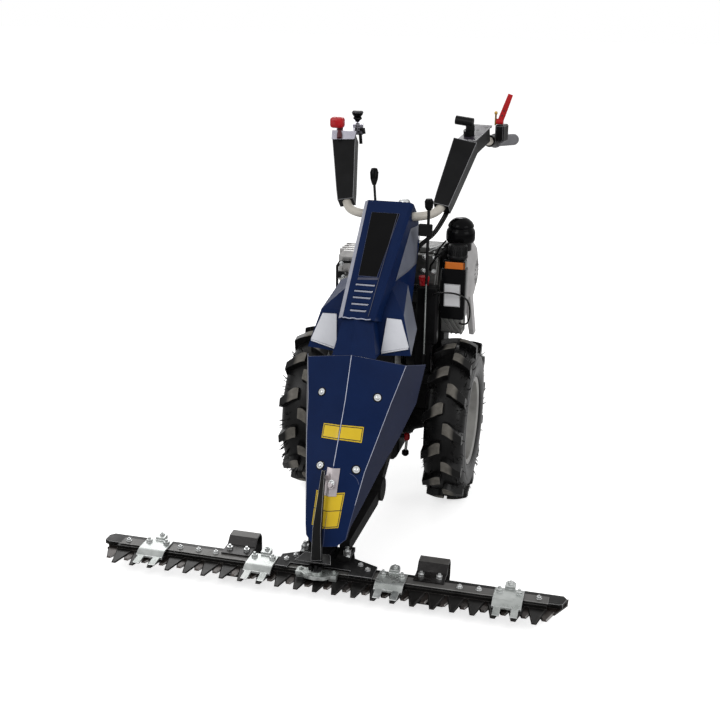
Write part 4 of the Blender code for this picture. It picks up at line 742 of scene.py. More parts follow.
def edge_lines(name, node, radius, paint, least, steep=0.0):
    """Thin lines of painted highlight along the long outer edges of a node that face the front and are steep
    enough.
    """
    data = merged_copy(node)
    routes = []
    for edge in data.edges:
        length = edge.calc_length()
        if len(edge.link_faces) != 2 or length < least:
            continue
        if abs(edge.verts[0].co.z - edge.verts[1].co.z) < steep * length:
            continue
        facing = edge.link_faces[0].normal + edge.link_faces[1].normal
        if edge.calc_face_angle_signed() > 0.4 and facing.y < -0.1:
            routes.append((radius, [from_axle(corner.co) for corner in edge.verts]))
    data.free()
    return lines(name, routes, paint, sides=8)


FILM_STEPS = 12
FILM_LIFT = 0.0004
FILM_THICKNESS = 0.0003
# Where a film's border line starts and ends, in widths of that line from the film's edge
BORDER = (1.2, 2.2)


def film_shares(size, line):
    """Shares of a film's side at which its mesh has a row, with both edges of the border line."""
    shares = {i / FILM_STEPS for i in range(FILM_STEPS + 1)}
    if line:
        for edge in BORDER:
            shares.update((edge * line / size, 1 - edge * line / size))
    return shares


def film(name, tree, corners, paints, line=0.0, splits=(), look=BACKWARD, arch=0.0):
    """Blank film laid on a surface, with a thin border line; corners run clockwise from the top left."""
    top_left, top_right, low_right, low_left = [Vector(corner) for corner in corners]
    width = (top_right - top_left).length
    height = (low_left - top_left).length
    shares_u = sorted(film_shares(width, line))
    shares_v = film_shares(height, line)
    for split in splits:
        shares_v.update((split - 0.5 * line / height, split + 0.5 * line / height))
    shares_v = sorted(shares_v)
    data = bmesh.new()
    rows = []
    for v in shares_v:
        row = []
        for u in shares_u:
            flat = top_left.lerp(top_right, u).lerp(low_left.lerp(low_right, u), v)
            flat.z += arch * (1 - abs(2 * u - 1))
            place, normal = met(tree, flat, look)
            row.append(data.verts.new(place + normal * FILM_LIFT))
        rows.append(row)
    for i in range(len(shares_v) - 1):
        for j in range(len(shares_u) - 1):
            face = data.faces.new((rows[i][j], rows[i + 1][j], rows[i + 1][j + 1], rows[i][j + 1]))
            if line:
                u = (shares_u[j] + shares_u[j + 1]) / 2 * width
                v = (shares_v[i] + shares_v[i + 1]) / 2 * height
                edge = min(u, width - u, v, height - v)
                on_split = any(abs(v - split * height) < 0.5 * line for split in splits)
                on_border = BORDER[0] * line < edge < BORDER[1] * line
                face.material_index = 1 if on_border or on_split else 0
    obj = to_object(data, name, paints)
    solid = obj.modifiers.new("thickness", "SOLIDIFY")
    solid.thickness = FILM_THICKNESS
    solid.offset = 1.0
    return settle(plain(obj))


# Wheels

# Half section of the casing from the bead to the middle of the tread, as (radius, distance from the middle)
TYRE_SECTION = (
    (0.1290, 0.0430), (0.1372, 0.0506), (0.1390, 0.0548), (0.1420, 0.0572), (0.1450, 0.0572),
    (0.1470, 0.0586), (0.1500, 0.0596), (0.1510, 0.0590), (0.1540, 0.0602), (0.1640, 0.0616),
    (0.1740, 0.0620), (0.1840, 0.0618), (0.1850, 0.0612), (0.1880, 0.0612), (0.1890, 0.0616),
    (0.1980, 0.0602), (0.2060, 0.0574), (0.2140, 0.0530), (0.2200, 0.0470), (0.2245, 0.0400),
    (0.2275, 0.0300), (0.2295, 0.0180), (0.2308, 0.0),
)
TYRE_INSIDE = ((0.1290, -0.0400), (0.1340, -0.0300), (0.1340, 0.0300), (0.1290, 0.0400))
SHOULDER_RADIUS = 0.19
LUG_STATIONS = 9
LUG_START = 0.002
LUG_WIDTH = 0.0570
LUG_LEAN = 0.038
LUG_HALF = 0.0150
LUG_FLANK = 0.0065
LUG_EDGE = 0.0006
LUG_DROP = 0.0088
ROOT_DEPTH = 0.004
# Rows of a vent hair of unit length, as (place along it, radius, bend)
HAIR_ROWS = ((0.0, 0.105, 0.0), (0.5, 0.095, 0.04), (1.0, 0.060, 0.20))
HAIR_CORNERS = (0.0, 2.094, 4.189)
HAIR_ZONE = (0.024, 0.0612)
HAIR_SEEDS = {"left": 11, "right": 12}
RIM_SECTION = (
    (0.1265, 0.0425), (0.1300, 0.0470), (0.1352, 0.0500), (0.1352, 0.0538), (0.1340, 0.0541),
    (0.1260, 0.0525), (0.1212, 0.0500), (0.1200, 0.0400), (0.1190, 0.0200), (0.1172, 0.0150),
    (0.1120, 0.0105), (0.1000, 0.0072), (0.0800, 0.0066), (0.0600, 0.0060), (0.0345, 0.0060),
    (0.0345, 0.0004), (0.0600, 0.0000), (0.1000, 0.0000), (0.1130, -0.0040), (0.1180, -0.0100),
    (0.1195, -0.0300), (0.1205, -0.0500), (0.1260, -0.0525), (0.1340, -0.0541), (0.1352, -0.0538),
    (0.1352, -0.0500), (0.1300, -0.0470), (0.1265, -0.0425),
)
WHEEL_BOLTS = 5
WHEEL_BOLT_CIRCLE = 0.070
WHEEL_BOLT_FACE = 0.0061
VALVE = ((0.012, 0.108), (0.020, 0.1035), (0.036, 0.0985))
VALVE_RADII = (0.0044, 0.0036, 0.0026)
HUB_CAP = 0.0135


def tread_depth(x):
    """Radius of the casing at a distance from the middle."""
    points = [(w, r) for r, w in reversed(TYRE_SECTION) if r > SHOULDER_RADIUS]
    return float(np.interp(x, [w for w, _ in points], [r for _, r in points]))


def lug_shape(side):
    """Slanting tread lug with a bend, about the wheel's own axis, its top worn flat."""
    rows = []
    for i in range(LUG_STATIONS):
        u = i / (LUG_STATIONS - 1)
        x = LUG_START + LUG_WIDTH * u
        along = 0.004 * u + LUG_LEAN * max(0.0, u - 0.18) ** 1.15
        half = LUG_HALF + 0.0035 * math.sin(math.pi * min(1.0, u * 1.3)) - 0.002 * u
        top = TYRE_RADIUS - 0.0004 - LUG_DROP * u ** 2.2
        shoulder = top - 2 * LUG_EDGE
        foot = tread_depth(x) - ROOT_DEPTH
        right = [(foot, half + LUG_FLANK), (shoulder, half + LUG_EDGE), (top, half - LUG_EDGE)]
        row = []
        for radius, reach in right + [(radius, -reach) for radius, reach in reversed(right)]:
            angle = (along + reach) / TYRE_RADIUS
            row.append((side * x, radius * math.cos(angle), radius * math.sin(angle)))
        rows.append(row)
    return rounded(to_object(loft(rows), "lug", [tyre_finish()]), 0.0012, 2, angle=50)


def hair_shape():
    """Thin bent hair of unit length, thinner to its tip."""
    rows = [[(radius * math.cos(angle) + bend, radius * math.sin(angle), height) for angle in HAIR_CORNERS]
            for height, radius, bend in HAIR_ROWS]
    return to_object(loft(rows), "hair", [tyre_finish()])


def hair_places(count, longest, seed):
    """Places of the vent hairs that stay off the ground."""
    random = np.random.default_rng(seed)
    places = []
    for _ in range(count):
        angle = random.uniform(0, 2 * math.pi)
        across = random.choice((-1, 1)) * random.uniform(*HAIR_ZONE)
        radius = tread_depth(abs(across)) - 0.0008
        length = random.uniform(0.35, 1.0) * longest
        out = Vector((across * 9 + random.normal(0, 0.12), math.cos(angle), math.sin(angle))).normalized()
        foot = Vector((across, radius * math.cos(angle), radius * math.sin(angle)))
        if (foot + out * length).z + TYRE_RADIUS >= 0.001:
            places.append((foot, aim(out, random.uniform(0, 6.28)), length))
    return places


def make_tyre(side, name):
    settings = bpy.context.scene.mower
    ring = [*TYRE_SECTION, *((r, -w) for r, w in reversed(TYRE_SECTION[:-1])), *TYRE_INSIDE]
    casing = moved(lathe(ring, 144), Vector(), aim(ACROSS))
    parts = [to_object(casing, "casing", [tyre_finish()])]
    for half_side, shift in ((1, 0.0), (-1, 0.5)):
        angles = turns(settings.lugs, shift * 2 * math.pi / settings.lugs)
        places = [(Vector(), Matrix.Rotation(angle, 3, "X"), 1.0) for angle in angles]
        parts.append(copies("lugs", lug_shape(half_side), places, tyre_finish()))
    places = hair_places(settings.hairs, settings.hair_length, HAIR_SEEDS[name])
    if places:
        parts.append(copies("hairs", hair_shape(), places, tyre_finish()))
    tyre = joined_meshes(parts, f"tyre_{name}_finished")
    tyre.data.transform(Matrix.Translation(at(side * WHEEL_X, 0, TYRE_RADIUS)))
    settle(tyre, f"wheel_{name}", (f"tyre_{name}",))


def make_rim(side, name):
    data = lathe([(radius, side * x) for radius, x in RIM_SECTION], 96)
    parts = [sharp(to_object(moved(data, Vector(), aim(ACROSS)), "barrel", ["rim_paint"]), 50)]
    out = aim(ACROSS * side)
    face = ACROSS * side * WHEEL_BOLT_FACE
    bolts = [(face + around(angle, WHEEL_BOLT_CIRCLE), out, 1.0) for angle in turns(WHEEL_BOLTS, 0.3)]
    parts.append(copies("wheel_bolts", hex_bolt(0.017, 0.009, 0.0112, 0.003), bolts, "zinc"))
    valve = [Vector((side * x, 0, z)) for x, z in VALVE]
    parts.append(tube("valve", valve, VALVE_RADII, "black_plastic", 12))
    rim = joined_meshes(parts, f"rim_{name}_finished")
    rim.data.transform(Matrix.Translation(at(side * WHEEL_X, 0, TYRE_RADIUS)))
    settle(rim, f"wheel_{name}", (f"rim_{name}",))


def hub_finish(centre, normal):
    """Zinc on the outer end of a hub, oiled steel elsewhere."""
    return 1 if abs(centre.x) > WHEEL_X + HUB_CAP else 0


class MOWER_OT_wheels(bpy.types.Operator):
    """Makes both tyres with their lugs and vent hairs, the rims and the hubs"""

    bl_idname = "mower.wheels"
    bl_label = "Wheels"

    def execute(self, context):
        for side, name in SIDES:
            make_tyre(side, name)
            make_rim(side, name)
            dressed(f"axle_hub_{name}", ["oiled_steel", "zinc"], 0.0010,
                    body=f"wheel_{name}", pick=hub_finish)
        return {"FINISHED"}


# Cutter bar

TEETH = 23
KNIFE_PITCH = 0.0508
KNIFE_BACK_TOP = 0.0615
RIVET = ((0, 0.0), (0.0021, 0.0), (0.0019, 0.0006), (0.0011, 0.0010), (0, 0.0011))
RIVET_SHIFT = 0.0127
RIVET_Y = -0.7122
RAIL_TOP = 0.0651
RAIL_BOLTS = (
    (-0.559, -0.690), (-0.408, -0.689), (-0.355, -0.689), (-0.305, -0.690), (0.3585, -0.690), (0.408, -0.688),
    (0.560, -0.689),
)
BOLT_SPIN = 40
SUNK = 0.0001
SKID_NUTS_Z = RAIL_TOP + 0.0048
SKID_NUTS_Y = -0.650
SKID_CREST = 0.012


def blade_finish(centre, normal):
    """Bare steel on the ground flanks of the lower blade's teeth that face right."""
    return 1 if 0.15 < abs(normal.z) < 0.97 and normal.x > 0.2 else 0


class MOWER_OT_cutter_bar(bpy.types.Operator):
    """Makes the knife, the lower blade, the bar, its rail, clamps and skids"""

    bl_idname = "mower.cutter_bar"
    bl_label = "Cutter bar"

    def execute(self, context):
        dressed("knife", ["knife_black", "blade_edge"], 0.0005, 1, "knife_set", edge_slot=1)
        dressed("lower_blade", ["blade_brown", "ground_steel"], 0.0003, 1, pick=blade_finish)
        # The bar's rounded edges take a light grey as a painted highlight
        dressed("back_bar", ["knife_black", "black_edge"], 0.0006, 1, edge_slot=1)
        # The rail's rounded edges take a light grey as a painted highlight
        dressed("wear_rail", ["rail_grey", "rail_light"], 0.0007, 1, edge_slot=1)
        places = []
        for tooth in range(TEETH):
            centre = (tooth - TEETH // 2) * KNIFE_PITCH
            for shift in (-RIVET_SHIFT, RIVET_SHIFT):
                places.append((at(centre + shift, RIVET_Y, KNIFE_BACK_TOP - SUNK), Matrix.Identity(3), 1.0))
        rivet = to_object(lathe(RIVET, 12), "rivet", ["oiled_steel"])
        set_copies("knife_rivets", rivet, places, "oiled_steel", "knife_set")
        bolts = [(at(x, y, RAIL_TOP - SUNK), Matrix.Rotation(x * BOLT_SPIN, 3, "Z"), 1.0)
                 for x, y in RAIL_BOLTS]
        set_copies("rail_bolts", hex_bolt(0.012, 0.0055, 0.0080, 0.0035), bolts, "bright_zinc")
        # The clamps' rounded edges take bright zinc as a painted highlight at the bends
        for number in range(1, 5):
            dressed(f"knife_clamp_{number}", ["zinc", "bright_zinc"], 0.0012, edge_slot=1)
        # The skids' up-facing tops are painted a lighter grey as light falling on them; their nuts are bright
        # zinc
        for _, name in SIDES:
            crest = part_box(f"skid_{name}")[1].z - SKID_CREST
            dressed(f"skid_{name}", ["satin_black", "bright_zinc", "rail_grey"], 0.0008,
                    pick=lambda centre, normal: 1 if centre.z > SKID_NUTS_Z and centre.y < SKID_NUTS_Y
                    else 2 if normal.z > 0.8 and centre.z > crest else 0)
        return {"FINISHED"}


# Drive, carrier and guard

HEAD_X = -0.012
HEAD_PIN_Z = 0.0780
HEAD_PIN_HALF = 0.012
PLATE_TOP = 0.0715
CARRIER_NUT_X = 0.058
CARRIER_NUT_Y = -0.636
CARRIER_NUT_Z = (0.0832, 0.109)
CARRIER_NUT_HALF = 0.0125
BRACKET_BOLT = (0.0031, -0.6400, 0.2898)
# Line of painted highlight along the lid's front edge
LID_EDGE = (
    (-0.0660, -0.7415, 0.1083), (-0.0520, -0.6945, 0.1083), (0.0160, -0.6945, 0.1083),
    (0.0300, -0.7415, 0.1083),
)
# Stub, red boot, grey rod and black knob of the lever below the gearbox: points, radius, finish, sides
SHAFT_LEVER = (
    (((0.066, -0.104, 0.2160), (0.0898, -0.1000, 0.2160)), 0.0060, "black_paint", 16),
    (upright(0.0898, -0.1000, 0.2240, 0.2200, 0.2090, 0.2040), (0.0075, 0.0095, 0.0095, 0.0070),
     "red_plastic", 20),
    (((0.0898, -0.1000, 0.2060), (0.0860, -0.1000, 0.1620)), 0.0042, "zinc", 14),
    (upright(0.0860, -0.1000, 0.1700, 0.1660, 0.1560, 0.1510), (0.0070, 0.0110, 0.0110, 0.0060),
     "gloss_black", 20),
)
FLANGE = ((0, 0.0), (0.0620, 0.0), (0.0620, 0.0140), (0.0560, 0.0170), (0.0460, 0.0280), (0.0400, 0.0500),
          (0, 0.0500))
FLANGE_X = 0.0702
FLANGE_FACE = 0.0840
FLANGE_BOLTS = 6
FLANGE_CIRCLE = 0.052
STAY_SIZE = (0.050, 0.018, 0.118)
STAY_PLACE = (0.1230, -0.0260, 0.3440)


def head_finish(centre, normal):
    """Oiled steel round the knife head's pin, zinc elsewhere."""
    return 1 if centre.z > HEAD_PIN_Z and abs(centre.x - HEAD_X) < HEAD_PIN_HALF else 0


def carrier_finish(centre, normal):
    """Bright nuts on the carrier's two bolts, black elsewhere."""
    low, high = CARRIER_NUT_Z
    beside = abs(abs(centre.x - HEAD_X) - CARRIER_NUT_X) < CARRIER_NUT_HALF
    return 1 if low < centre.z < high and beside and abs(centre.y - CARRIER_NUT_Y) < CARRIER_NUT_HALF else 0


def make_axle_castings():
    """Bolted axle flanges between gearbox and wheels, each with a stay up to the engine's deck."""
    for side, name in SIDES:
        out = aim(ACROSS * side)
        flange = moved(lathe(FLANGE, 48), at(side * FLANGE_X, 0, TYRE_RADIUS), out)
        casting = sharp(to_object(flange, "flange", ["black_cast"]), 40)
        face = at(side * FLANGE_FACE, 0, TYRE_RADIUS)
        places = [(face + around(angle, FLANGE_CIRCLE), out, 1.0) for angle in turns(FLANGE_BOLTS, 0.26)]
        bolts = copies("bolts", hex_bolt(0.012, 0.006, 0.0075, 0.001), places, "oiled_steel")
        x, y, z = STAY_PLACE
        stay = block("stay", STAY_SIZE, at(side * x, y, z), "black_cast", 0.004, 3)
        settle(joined_meshes([casting, bolts, stay], f"axle_casting_{name}"))


class MOWER_OT_drive(bpy.types.Operator):
    """Makes the knife head, the drive lever, the carrier, the centre plate and the guard strap"""

    bl_idname = "mower.drive"
    bl_label = "Knife drive"

    def execute(self, context):
        dressed("knife_head", ["zinc", "oiled_steel"], 0.0008, body="knife_set",
                pick=head_finish)
        dressed("drive_lever", ["black_paint"], 0.0010, body="swing_lever")
        make_axle_castings()
        settle(joined_meshes([rod(*row) for row in SHAFT_LEVER], "shaft_lever"))
        # Light grey on the plate's and the strap's rounded edges, and lines on the strap's and the lid's
        # edges, paint a highlight
        dressed("centre_plate", ["black_paint", "bright_zinc", "black_edge"], 0.0007, 1,
                edge_slot=2, pick=lambda centre, normal: 1 if centre.z > PLATE_TOP + 0.0002 else 0)
        dressed("bar_carrier", ["black_cast", "bright_zinc"], 0.0016, pick=carrier_finish)
        dressed("guard_strap", ["black_paint", "black_edge"], 0.0010, 1, edge_slot=1)
        dressed("strap_bracket", ["bracket_metal"], 0.0006)
        edge_lines("strap_edges", "guard_strap", 0.0004, "black_edge", 0.020, 0.5)
        lines("lid_edges", ((0.0006, LID_EDGE),), "black_edge")
        bolt = round_bolt(0.0050, 0.0078)
        set_copies("bracket_bolt", bolt, nearest("strap_bracket", (BRACKET_BOLT,)), "bright_zinc")
        return {"FINISHED"}


# Hoods

LENGTHWISE_CREASE = 0.004
CREASE_END = 0.30
SIDE_CREASE_END = 0.24
HOOD_BOLTS = ((-0.0749, 0.4717), (0.0801, 0.4715), (-0.0384, 0.3183), (0.0577, 0.3153))
BOLT_RING_RADIUS = 0.0128
BOLT_RING_HEIGHT = 0.0012
UPPER_FILM = (
    (-0.0512, -0.3, 0.4072), (0.0591, -0.3, 0.4080), (0.0600, -0.3, 0.3729), (-0.0500, -0.3, 0.3761),
)
LOWER_FILM = (
    (-0.0391, -0.3, 0.2610), (0.0375, -0.3, 0.2633), (0.0330, -0.3, 0.1827), (-0.0388, -0.3, 0.1819),
)
FILM_LINE = 0.0018
WINDOW_SILL = (
    (-0.0262, -0.2, 0.7490), (0.0318, -0.2, 0.7515), (0.0318, -0.2, 0.7468), (-0.0262, -0.2, 0.7440),
)
# Corners of a grey film that paints the reflection on the neck's side
NECK_REFLECTION = (
    (0.0750, -0.0600, 0.8500), (0.0750, 0.0080, 0.8480), (0.0850, -0.0520, 0.7450), (0.0650, -0.2100, 0.7290),
)
RIDGE_TOP = Vector((0.0635, -0.022, 0.919))
RIDGE_END = Vector((0.0375, -0.397, 0.668))
# Line along the ridge's right edge, drawn in the sill's grey as a painted highlight
RIDGE_LINE = (
    (0.0362, -0.0680, 0.8920), (0.0334, -0.2689, 0.7560), (0.0330, -0.3671, 0.6900), (0.0325, -0.392, 0.6735),
)
# Slightly wavy lip across the lower end of the ridge, drawn as a pale line that paints its highlight
RIDGE_LIP = [(-0.0370 + 0.0780 * i / 12, -0.3985, 0.6672 + 0.0010 * math.sin(i * 1.7)) for i in range(13)]
HOOD_ARC = (
    (0.0430, -0.6075, 0.3073), (0.0500, -0.6070, 0.3045), (0.0565, -0.6070, 0.2998),
    (0.0635, -0.6080, 0.2925), (0.0685, -0.6110, 0.2830), (0.0705, -0.6140, 0.2700),
    (0.0700, -0.6170, 0.2560), (0.0680, -0.6200, 0.2430),
)
LAMP_LIP = ((0.1380, -0.3573, 0.5815), (0.0650, -0.3630, 0.5640))
LOUVRES = 5
LOUVRE_START = 0.7375
LOUVRE_STEP = 0.052
LOUVRE_HALF = 0.0268
LOUVRE_NARROWING = 0.0013
LOUVRE_LIP = (0.0050, 0.0026)
LOUVRE_LIFT = 0.0012


def lower_finish(centre, normal):
    """Own finishes for the right and the left flank: a greyer blue that paints how light falls on the right
    flank, and a grey that paints the reflection on the left one.
    """
    return 3 if normal.x > 0.9 else 4 if normal.x < -0.9 else 0


def lower_creases(centre, normal, slot):
    """Painted highlight on the lengthwise crease and on the side creases, down to where each of them fades
    out.
    """
    middle = abs(centre.x) < LENGTHWISE_CREASE and centre.z > CREASE_END
    sides = 0.45 < abs(normal.x) < 0.88 and centre.z > SIDE_CREASE_END
    return 2 if slot == 1 and normal.y < -0.4 and (middle or sides) else slot


def upper_finish(centre, normal):
    """Painted reflection on the left slope of the ridge, in pale lilac, and on the steep lower flanks, in
    grey.
    """
    if -0.078 < centre.x < 0 and 0.40 < abs(normal.x) < 0.60 and 0.60 < normal.z < 0.80:
        return 2
    return 3 if abs(normal.x) > 0.90 and abs(centre.x) > 0.085 and centre.z < 0.70 else 0


def make_hood_marks():
    """Bolts, blank films, and the painted highlight lines and painted reflection on the hoods."""
    lower = surface_of("lower_hood")
    upper = surface_of("upper_hood")
    met_places = [met(lower, (x, -0.3, z)) for x, z in HOOD_BOLTS]
    places = [(spot, aim(normal), 1.0) for spot, normal in met_places]
    # Dark discs of black plastic under the hood bolts, showing as a dark ring round each
    spots("hood_bolt_seats", BOLT_RING_RADIUS, BOLT_RING_HEIGHT, places, "black_plastic")
    places = [(spot + turn @ Vector((0, 0, 0.0010)), turn, size) for spot, turn, size in places]
    set_copies("hood_bolts", round_bolt(), places, "bright_zinc")
    yellow = ["yellow_film", "dark_print"]
    film("upper_film", lower, UPPER_FILM, yellow, line=FILM_LINE, arch=0.006)
    film("lower_film", lower, LOWER_FILM, yellow, line=FILM_LINE, splits=(0.51,))
    film("window_sill", upper, WINDOW_SILL, ["sill_grey"])
    # Grey film on the neck's side, a painted reflection
    film("neck_panel", upper, NECK_REFLECTION, ["grey_flank"], look=-ACROSS)
    # Pale line along the ridge's lip, a painted highlight
    lines("ridge_lip", ((0.0015, RIDGE_LIP),), "crease")
    # Thin grey line on the ridge's right edge, a painted highlight
    lines("ridge_line", ((0.0009, RIDGE_LINE),), "sill_grey")
    # Thin lighter blue line along the embossed arc, a painted highlight
    arc = [from_axle(spot) for spot, _, _ in nearest("lower_hood", HOOD_ARC)]
    lines("hood_arc", ((0.0008, arc),), "blue_edge")
    for side, name in SIDES:
        corners = [(side * x, y, z) for x, y, z in LAMP_LIP]
        lines(f"lamp_lip_{name}", ((0.0022, corners),), "lamp_face")


def make_louvre_lips():
    """Lips of the louvres, pale lilac as a painted highlight, each a little narrower than the one above it.
    """
    run = (RIDGE_END - RIDGE_TOP) * Vector((0, 1, 1))
    slope = run.normalized()
    out = Vector((0, slope.z, -slope.y))
    turn = Matrix((ACROSS, slope, out)).transposed()
    lips = []
    for number in range(LOUVRES):
        _, y, z = RIDGE_TOP + run * (LOUVRE_START + number * LOUVRE_STEP)
        size = (2 * (LOUVRE_HALF - number * LOUVRE_NARROWING), *LOUVRE_LIP)
        lips.append(block("lip", size, at(0, y, z) + out * LOUVRE_LIFT, "lilac", 0.0008, 2, turn))
    settle(joined_meshes(lips, "louvre_lips"))


class MOWER_OT_hoods(bpy.types.Operator):
    """Makes the painted hoods with their louvres, window, lamps, bolts and blank films"""

    bl_idname = "mower.hoods"
    bl_label = "Hoods"

    def execute(self, context):
        # The hoods and the window take a lighter blue on their rounded edges as a painted highlight
        dressed("lower_hood", ["blue_paint", "blue_edge", "crease", "flank_blue", "flank_grey"],
                angle=18, edge_slot=1, pick=lower_finish, repaint=lower_creases)
        # The upper hood's left ridge slope and its steep lower flanks are painted as reflections
        dressed("upper_hood", ["blue_paint", "blue_edge", "lilac", "grey_flank"], angle=24,
                edge_slot=1, pick=upper_finish)
        dressed("window_panel", ["gloss_black", "blue_edge"], 0.0009, edge_slot=1)
        for _, name in SIDES:
            dressed(f"lamp_panel_{name}", ["lamp_face"], 0.0012, 3)
        make_hood_marks()
        make_louvre_lips()
        return {"FINISHED"}


# Handlebar

TUBE_RADIUS = 0.0130
GRIP_START = Vector((0.2455, 0.400, 1.053))
GRIP_END = Vector((0.2850, 0.590, 1.035))
TUBE_END_GAP = 0.006
# Right half of the tube's centre line, from the middle to before the grip
HALF_TUBE = (
    (0.000, -0.030, 0.879), (0.045, -0.030, 0.879), (0.065, -0.030, 0.879), (0.098, -0.022, 0.881),
    (0.127, 0.005, 0.886), (0.1455, 0.040, 0.902), (0.158, 0.083, 0.950), (0.172, 0.127, 1.005),
    (0.186, 0.168, 1.050), (0.200, 0.215, 1.070), (0.216, 0.280, 1.070), (0.232, 0.340, 1.0585),
)
GRIP_RIBS = 22
# Sections of a rib and of the collar, as (height over the tube, place along it)
RIB = ((0.0036, 0.0028), (0.0054, 0.0018), (0.0054, -0.0018), (0.0036, -0.0028))
GRIP_COLLAR = ((0.0042, 0.0085), (0.0092, 0.0060), (0.0095, 0.0050), (0.0095, 0.0006), (0.0088, 0.0))
PLATE_EYES = ((0.2094, 0.2578, 1.1021), (0.2320, 0.2795, 1.1080))
PLATE_HOLES = (
    (-0.1715, 0.2461, 1.0990), (-0.1640, 0.2480, 1.0990), (-0.1720, 0.2461, 1.0900),
    (-0.1650, 0.2480, 1.0900), (-0.1725, 0.2496, 1.0810), (-0.1655, 0.2500, 1.0810),
)
BRACKET_OUTLINE = (
    (-0.2270, 0.1612, 1.0930), (-0.1500, 0.1612, 1.0930), (-0.1520, 0.1444, 1.0715),
    (-0.2235, 0.1416, 1.0680),
)
BRACKET_HALF = 0.0012
# Stem of the stop switch, lever and foot of the clamp: points, radius, finish, sides
BRACKET_RODS = (
    (((-0.2010, 0.1520, 1.0930), (-0.1995, 0.1460, 1.0840), (-0.1980, 0.1390, 1.0730)),
     (0.0062, 0.0080, 0.0080), "dark_red", 16),
    (((-0.1580, 0.2450, 1.0880), (-0.1475, 0.2400, 1.0900), (-0.1450, 0.2400, 1.0760)),
     (0.0050, 0.0062, 0.0050), "black_plastic", 14),
    (((-0.1570, 0.2380, 1.0760), (-0.1536, 0.2350, 1.0450)), 0.0052, "black_plastic", 14),
)
LOCK_NUT = (
    (0, 0.0258), (0.0060, 0.0254), (0.0110, 0.0238), (0.0150, 0.0206), (0.0172, 0.0160), (0.0178, 0.0100),
    (0.0178, 0.0080), (0.0166, 0.0056), (0.0150, 0.0040), (0.0150, 0.0), (0, 0.0),
)
LOCK_NUT_PLACE = (0.040, 0.003, 0.8993)


def handle_line(count):
    """Centre line of the whole bent tube, from the left grip to the right one."""
    end = GRIP_END - (GRIP_END - GRIP_START).normalized() * TUBE_END_GAP
    right = [Vector(point) for point in HALF_TUBE] + [GRIP_START, end]
    left = [Vector((-point.x, point.y, point.z)) for point in reversed(right[1:])]
    return [at(*point) for point in smooth_line(left + right, count)]


def make_grip(side, name):
    """Rubber grip with ribs all round and a collar at its front."""
    start = at(side * GRIP_START.x, GRIP_START.y, GRIP_START.z)
    end = at(side * GRIP_END.x, GRIP_END.y, GRIP_END.z)
    length = (end - start).length
    inner = TUBE_RADIUS + 0.0010
    outer = [(0.0, length), (TUBE_RADIUS, length), (TUBE_RADIUS + 0.0040, length - 0.002)]
    for i in range(GRIP_RIBS):
        middle = length - 0.010 - (length - 0.026) * i / (GRIP_RIBS - 1)
        outer += [(TUBE_RADIUS + swell, middle + shift) for swell, shift in RIB]
    outer += [(TUBE_RADIUS + swell, place) for swell, place in GRIP_COLLAR]
    outer += [(inner, 0.0), (inner, length - 0.0055), (0.0, length - 0.0055)]
    data = moved(lathe(outer, 40), start, aim(end - start))
    settle(to_object(data, f"grip_{name}_finished", ["grip_rubber"]), replaced=(f"grip_{name}",))


def make_left_bracket():
    """Upright bracket before the left control plate, with the stop switch's stem and the clamp's lever."""
    rows = [[at(x, y + shift, z) for x, y, z in BRACKET_OUTLINE] for shift in (-BRACKET_HALF, BRACKET_HALF)]
    plate = rounded(to_object(loft(rows), "plate", ["plate_lilac"]), 0.0006, 2)
    settle(joined_meshes([plate, *(rod(*row) for row in BRACKET_RODS)], "stop_bracket"))


class MOWER_OT_handlebar(bpy.types.Operator):
    """Makes the bent tube, its grips, covers, control plates and mast"""

    bl_idname = "mower.handlebar"
    bl_label = "Handlebar"

    def execute(self, context):
        bar = tube("handlebar_tube_finished", handle_line(8), TUBE_RADIUS, "tube_paint", 32)
        settle(bar, replaced=("handlebar_tube",))
        # Covers and lever box take a lighter grey on their rounded edges, and lines on the covers' front
        # edges, as a painted highlight
        plastic = ["black_plastic", "plastic_edge"]
        for side, name in SIDES:
            make_grip(side, name)
            cover = f"lever_cover_{name}"
            dressed(cover, plastic, 0.0010, angle=28, edge_slot=1)
            edge_lines(f"cover_edges_{name}", cover, 0.0008, "plastic_edge", 0.030)
        # The plates' rounded edges take bright zinc as a painted highlight
        for name, paint in (("left", "plate_lilac"), ("right", "plate_dark")):
            dressed(f"control_plate_{name}", [paint, "bright_zinc"], 0.0009, edge_slot=1)
        # Dark discs that paint the shade in the clamp's and the plate's holes
        spots("clamp_holes", 0.0024, 0.0005, nearest("control_plate_left", PLATE_HOLES), "dark_print")
        spots("plate_holes", 0.0052, 0.0005, nearest("control_plate_right", PLATE_EYES), "dark_print")
        make_left_bracket()
        dressed("handlebar_mast", ["black_cast"])
        dressed("lever_box", plastic, 0.0010, edge_slot=1)
        nut = moved(lathe(LOCK_NUT, 40), at(*LOCK_NUT_PLACE))
        settle(to_object(nut, "handlebar_lock_finished", ["bright_zinc"]), "handlebar_lock",
               ("handlebar_lock",))
        return {"FINISHED"}


# Controls

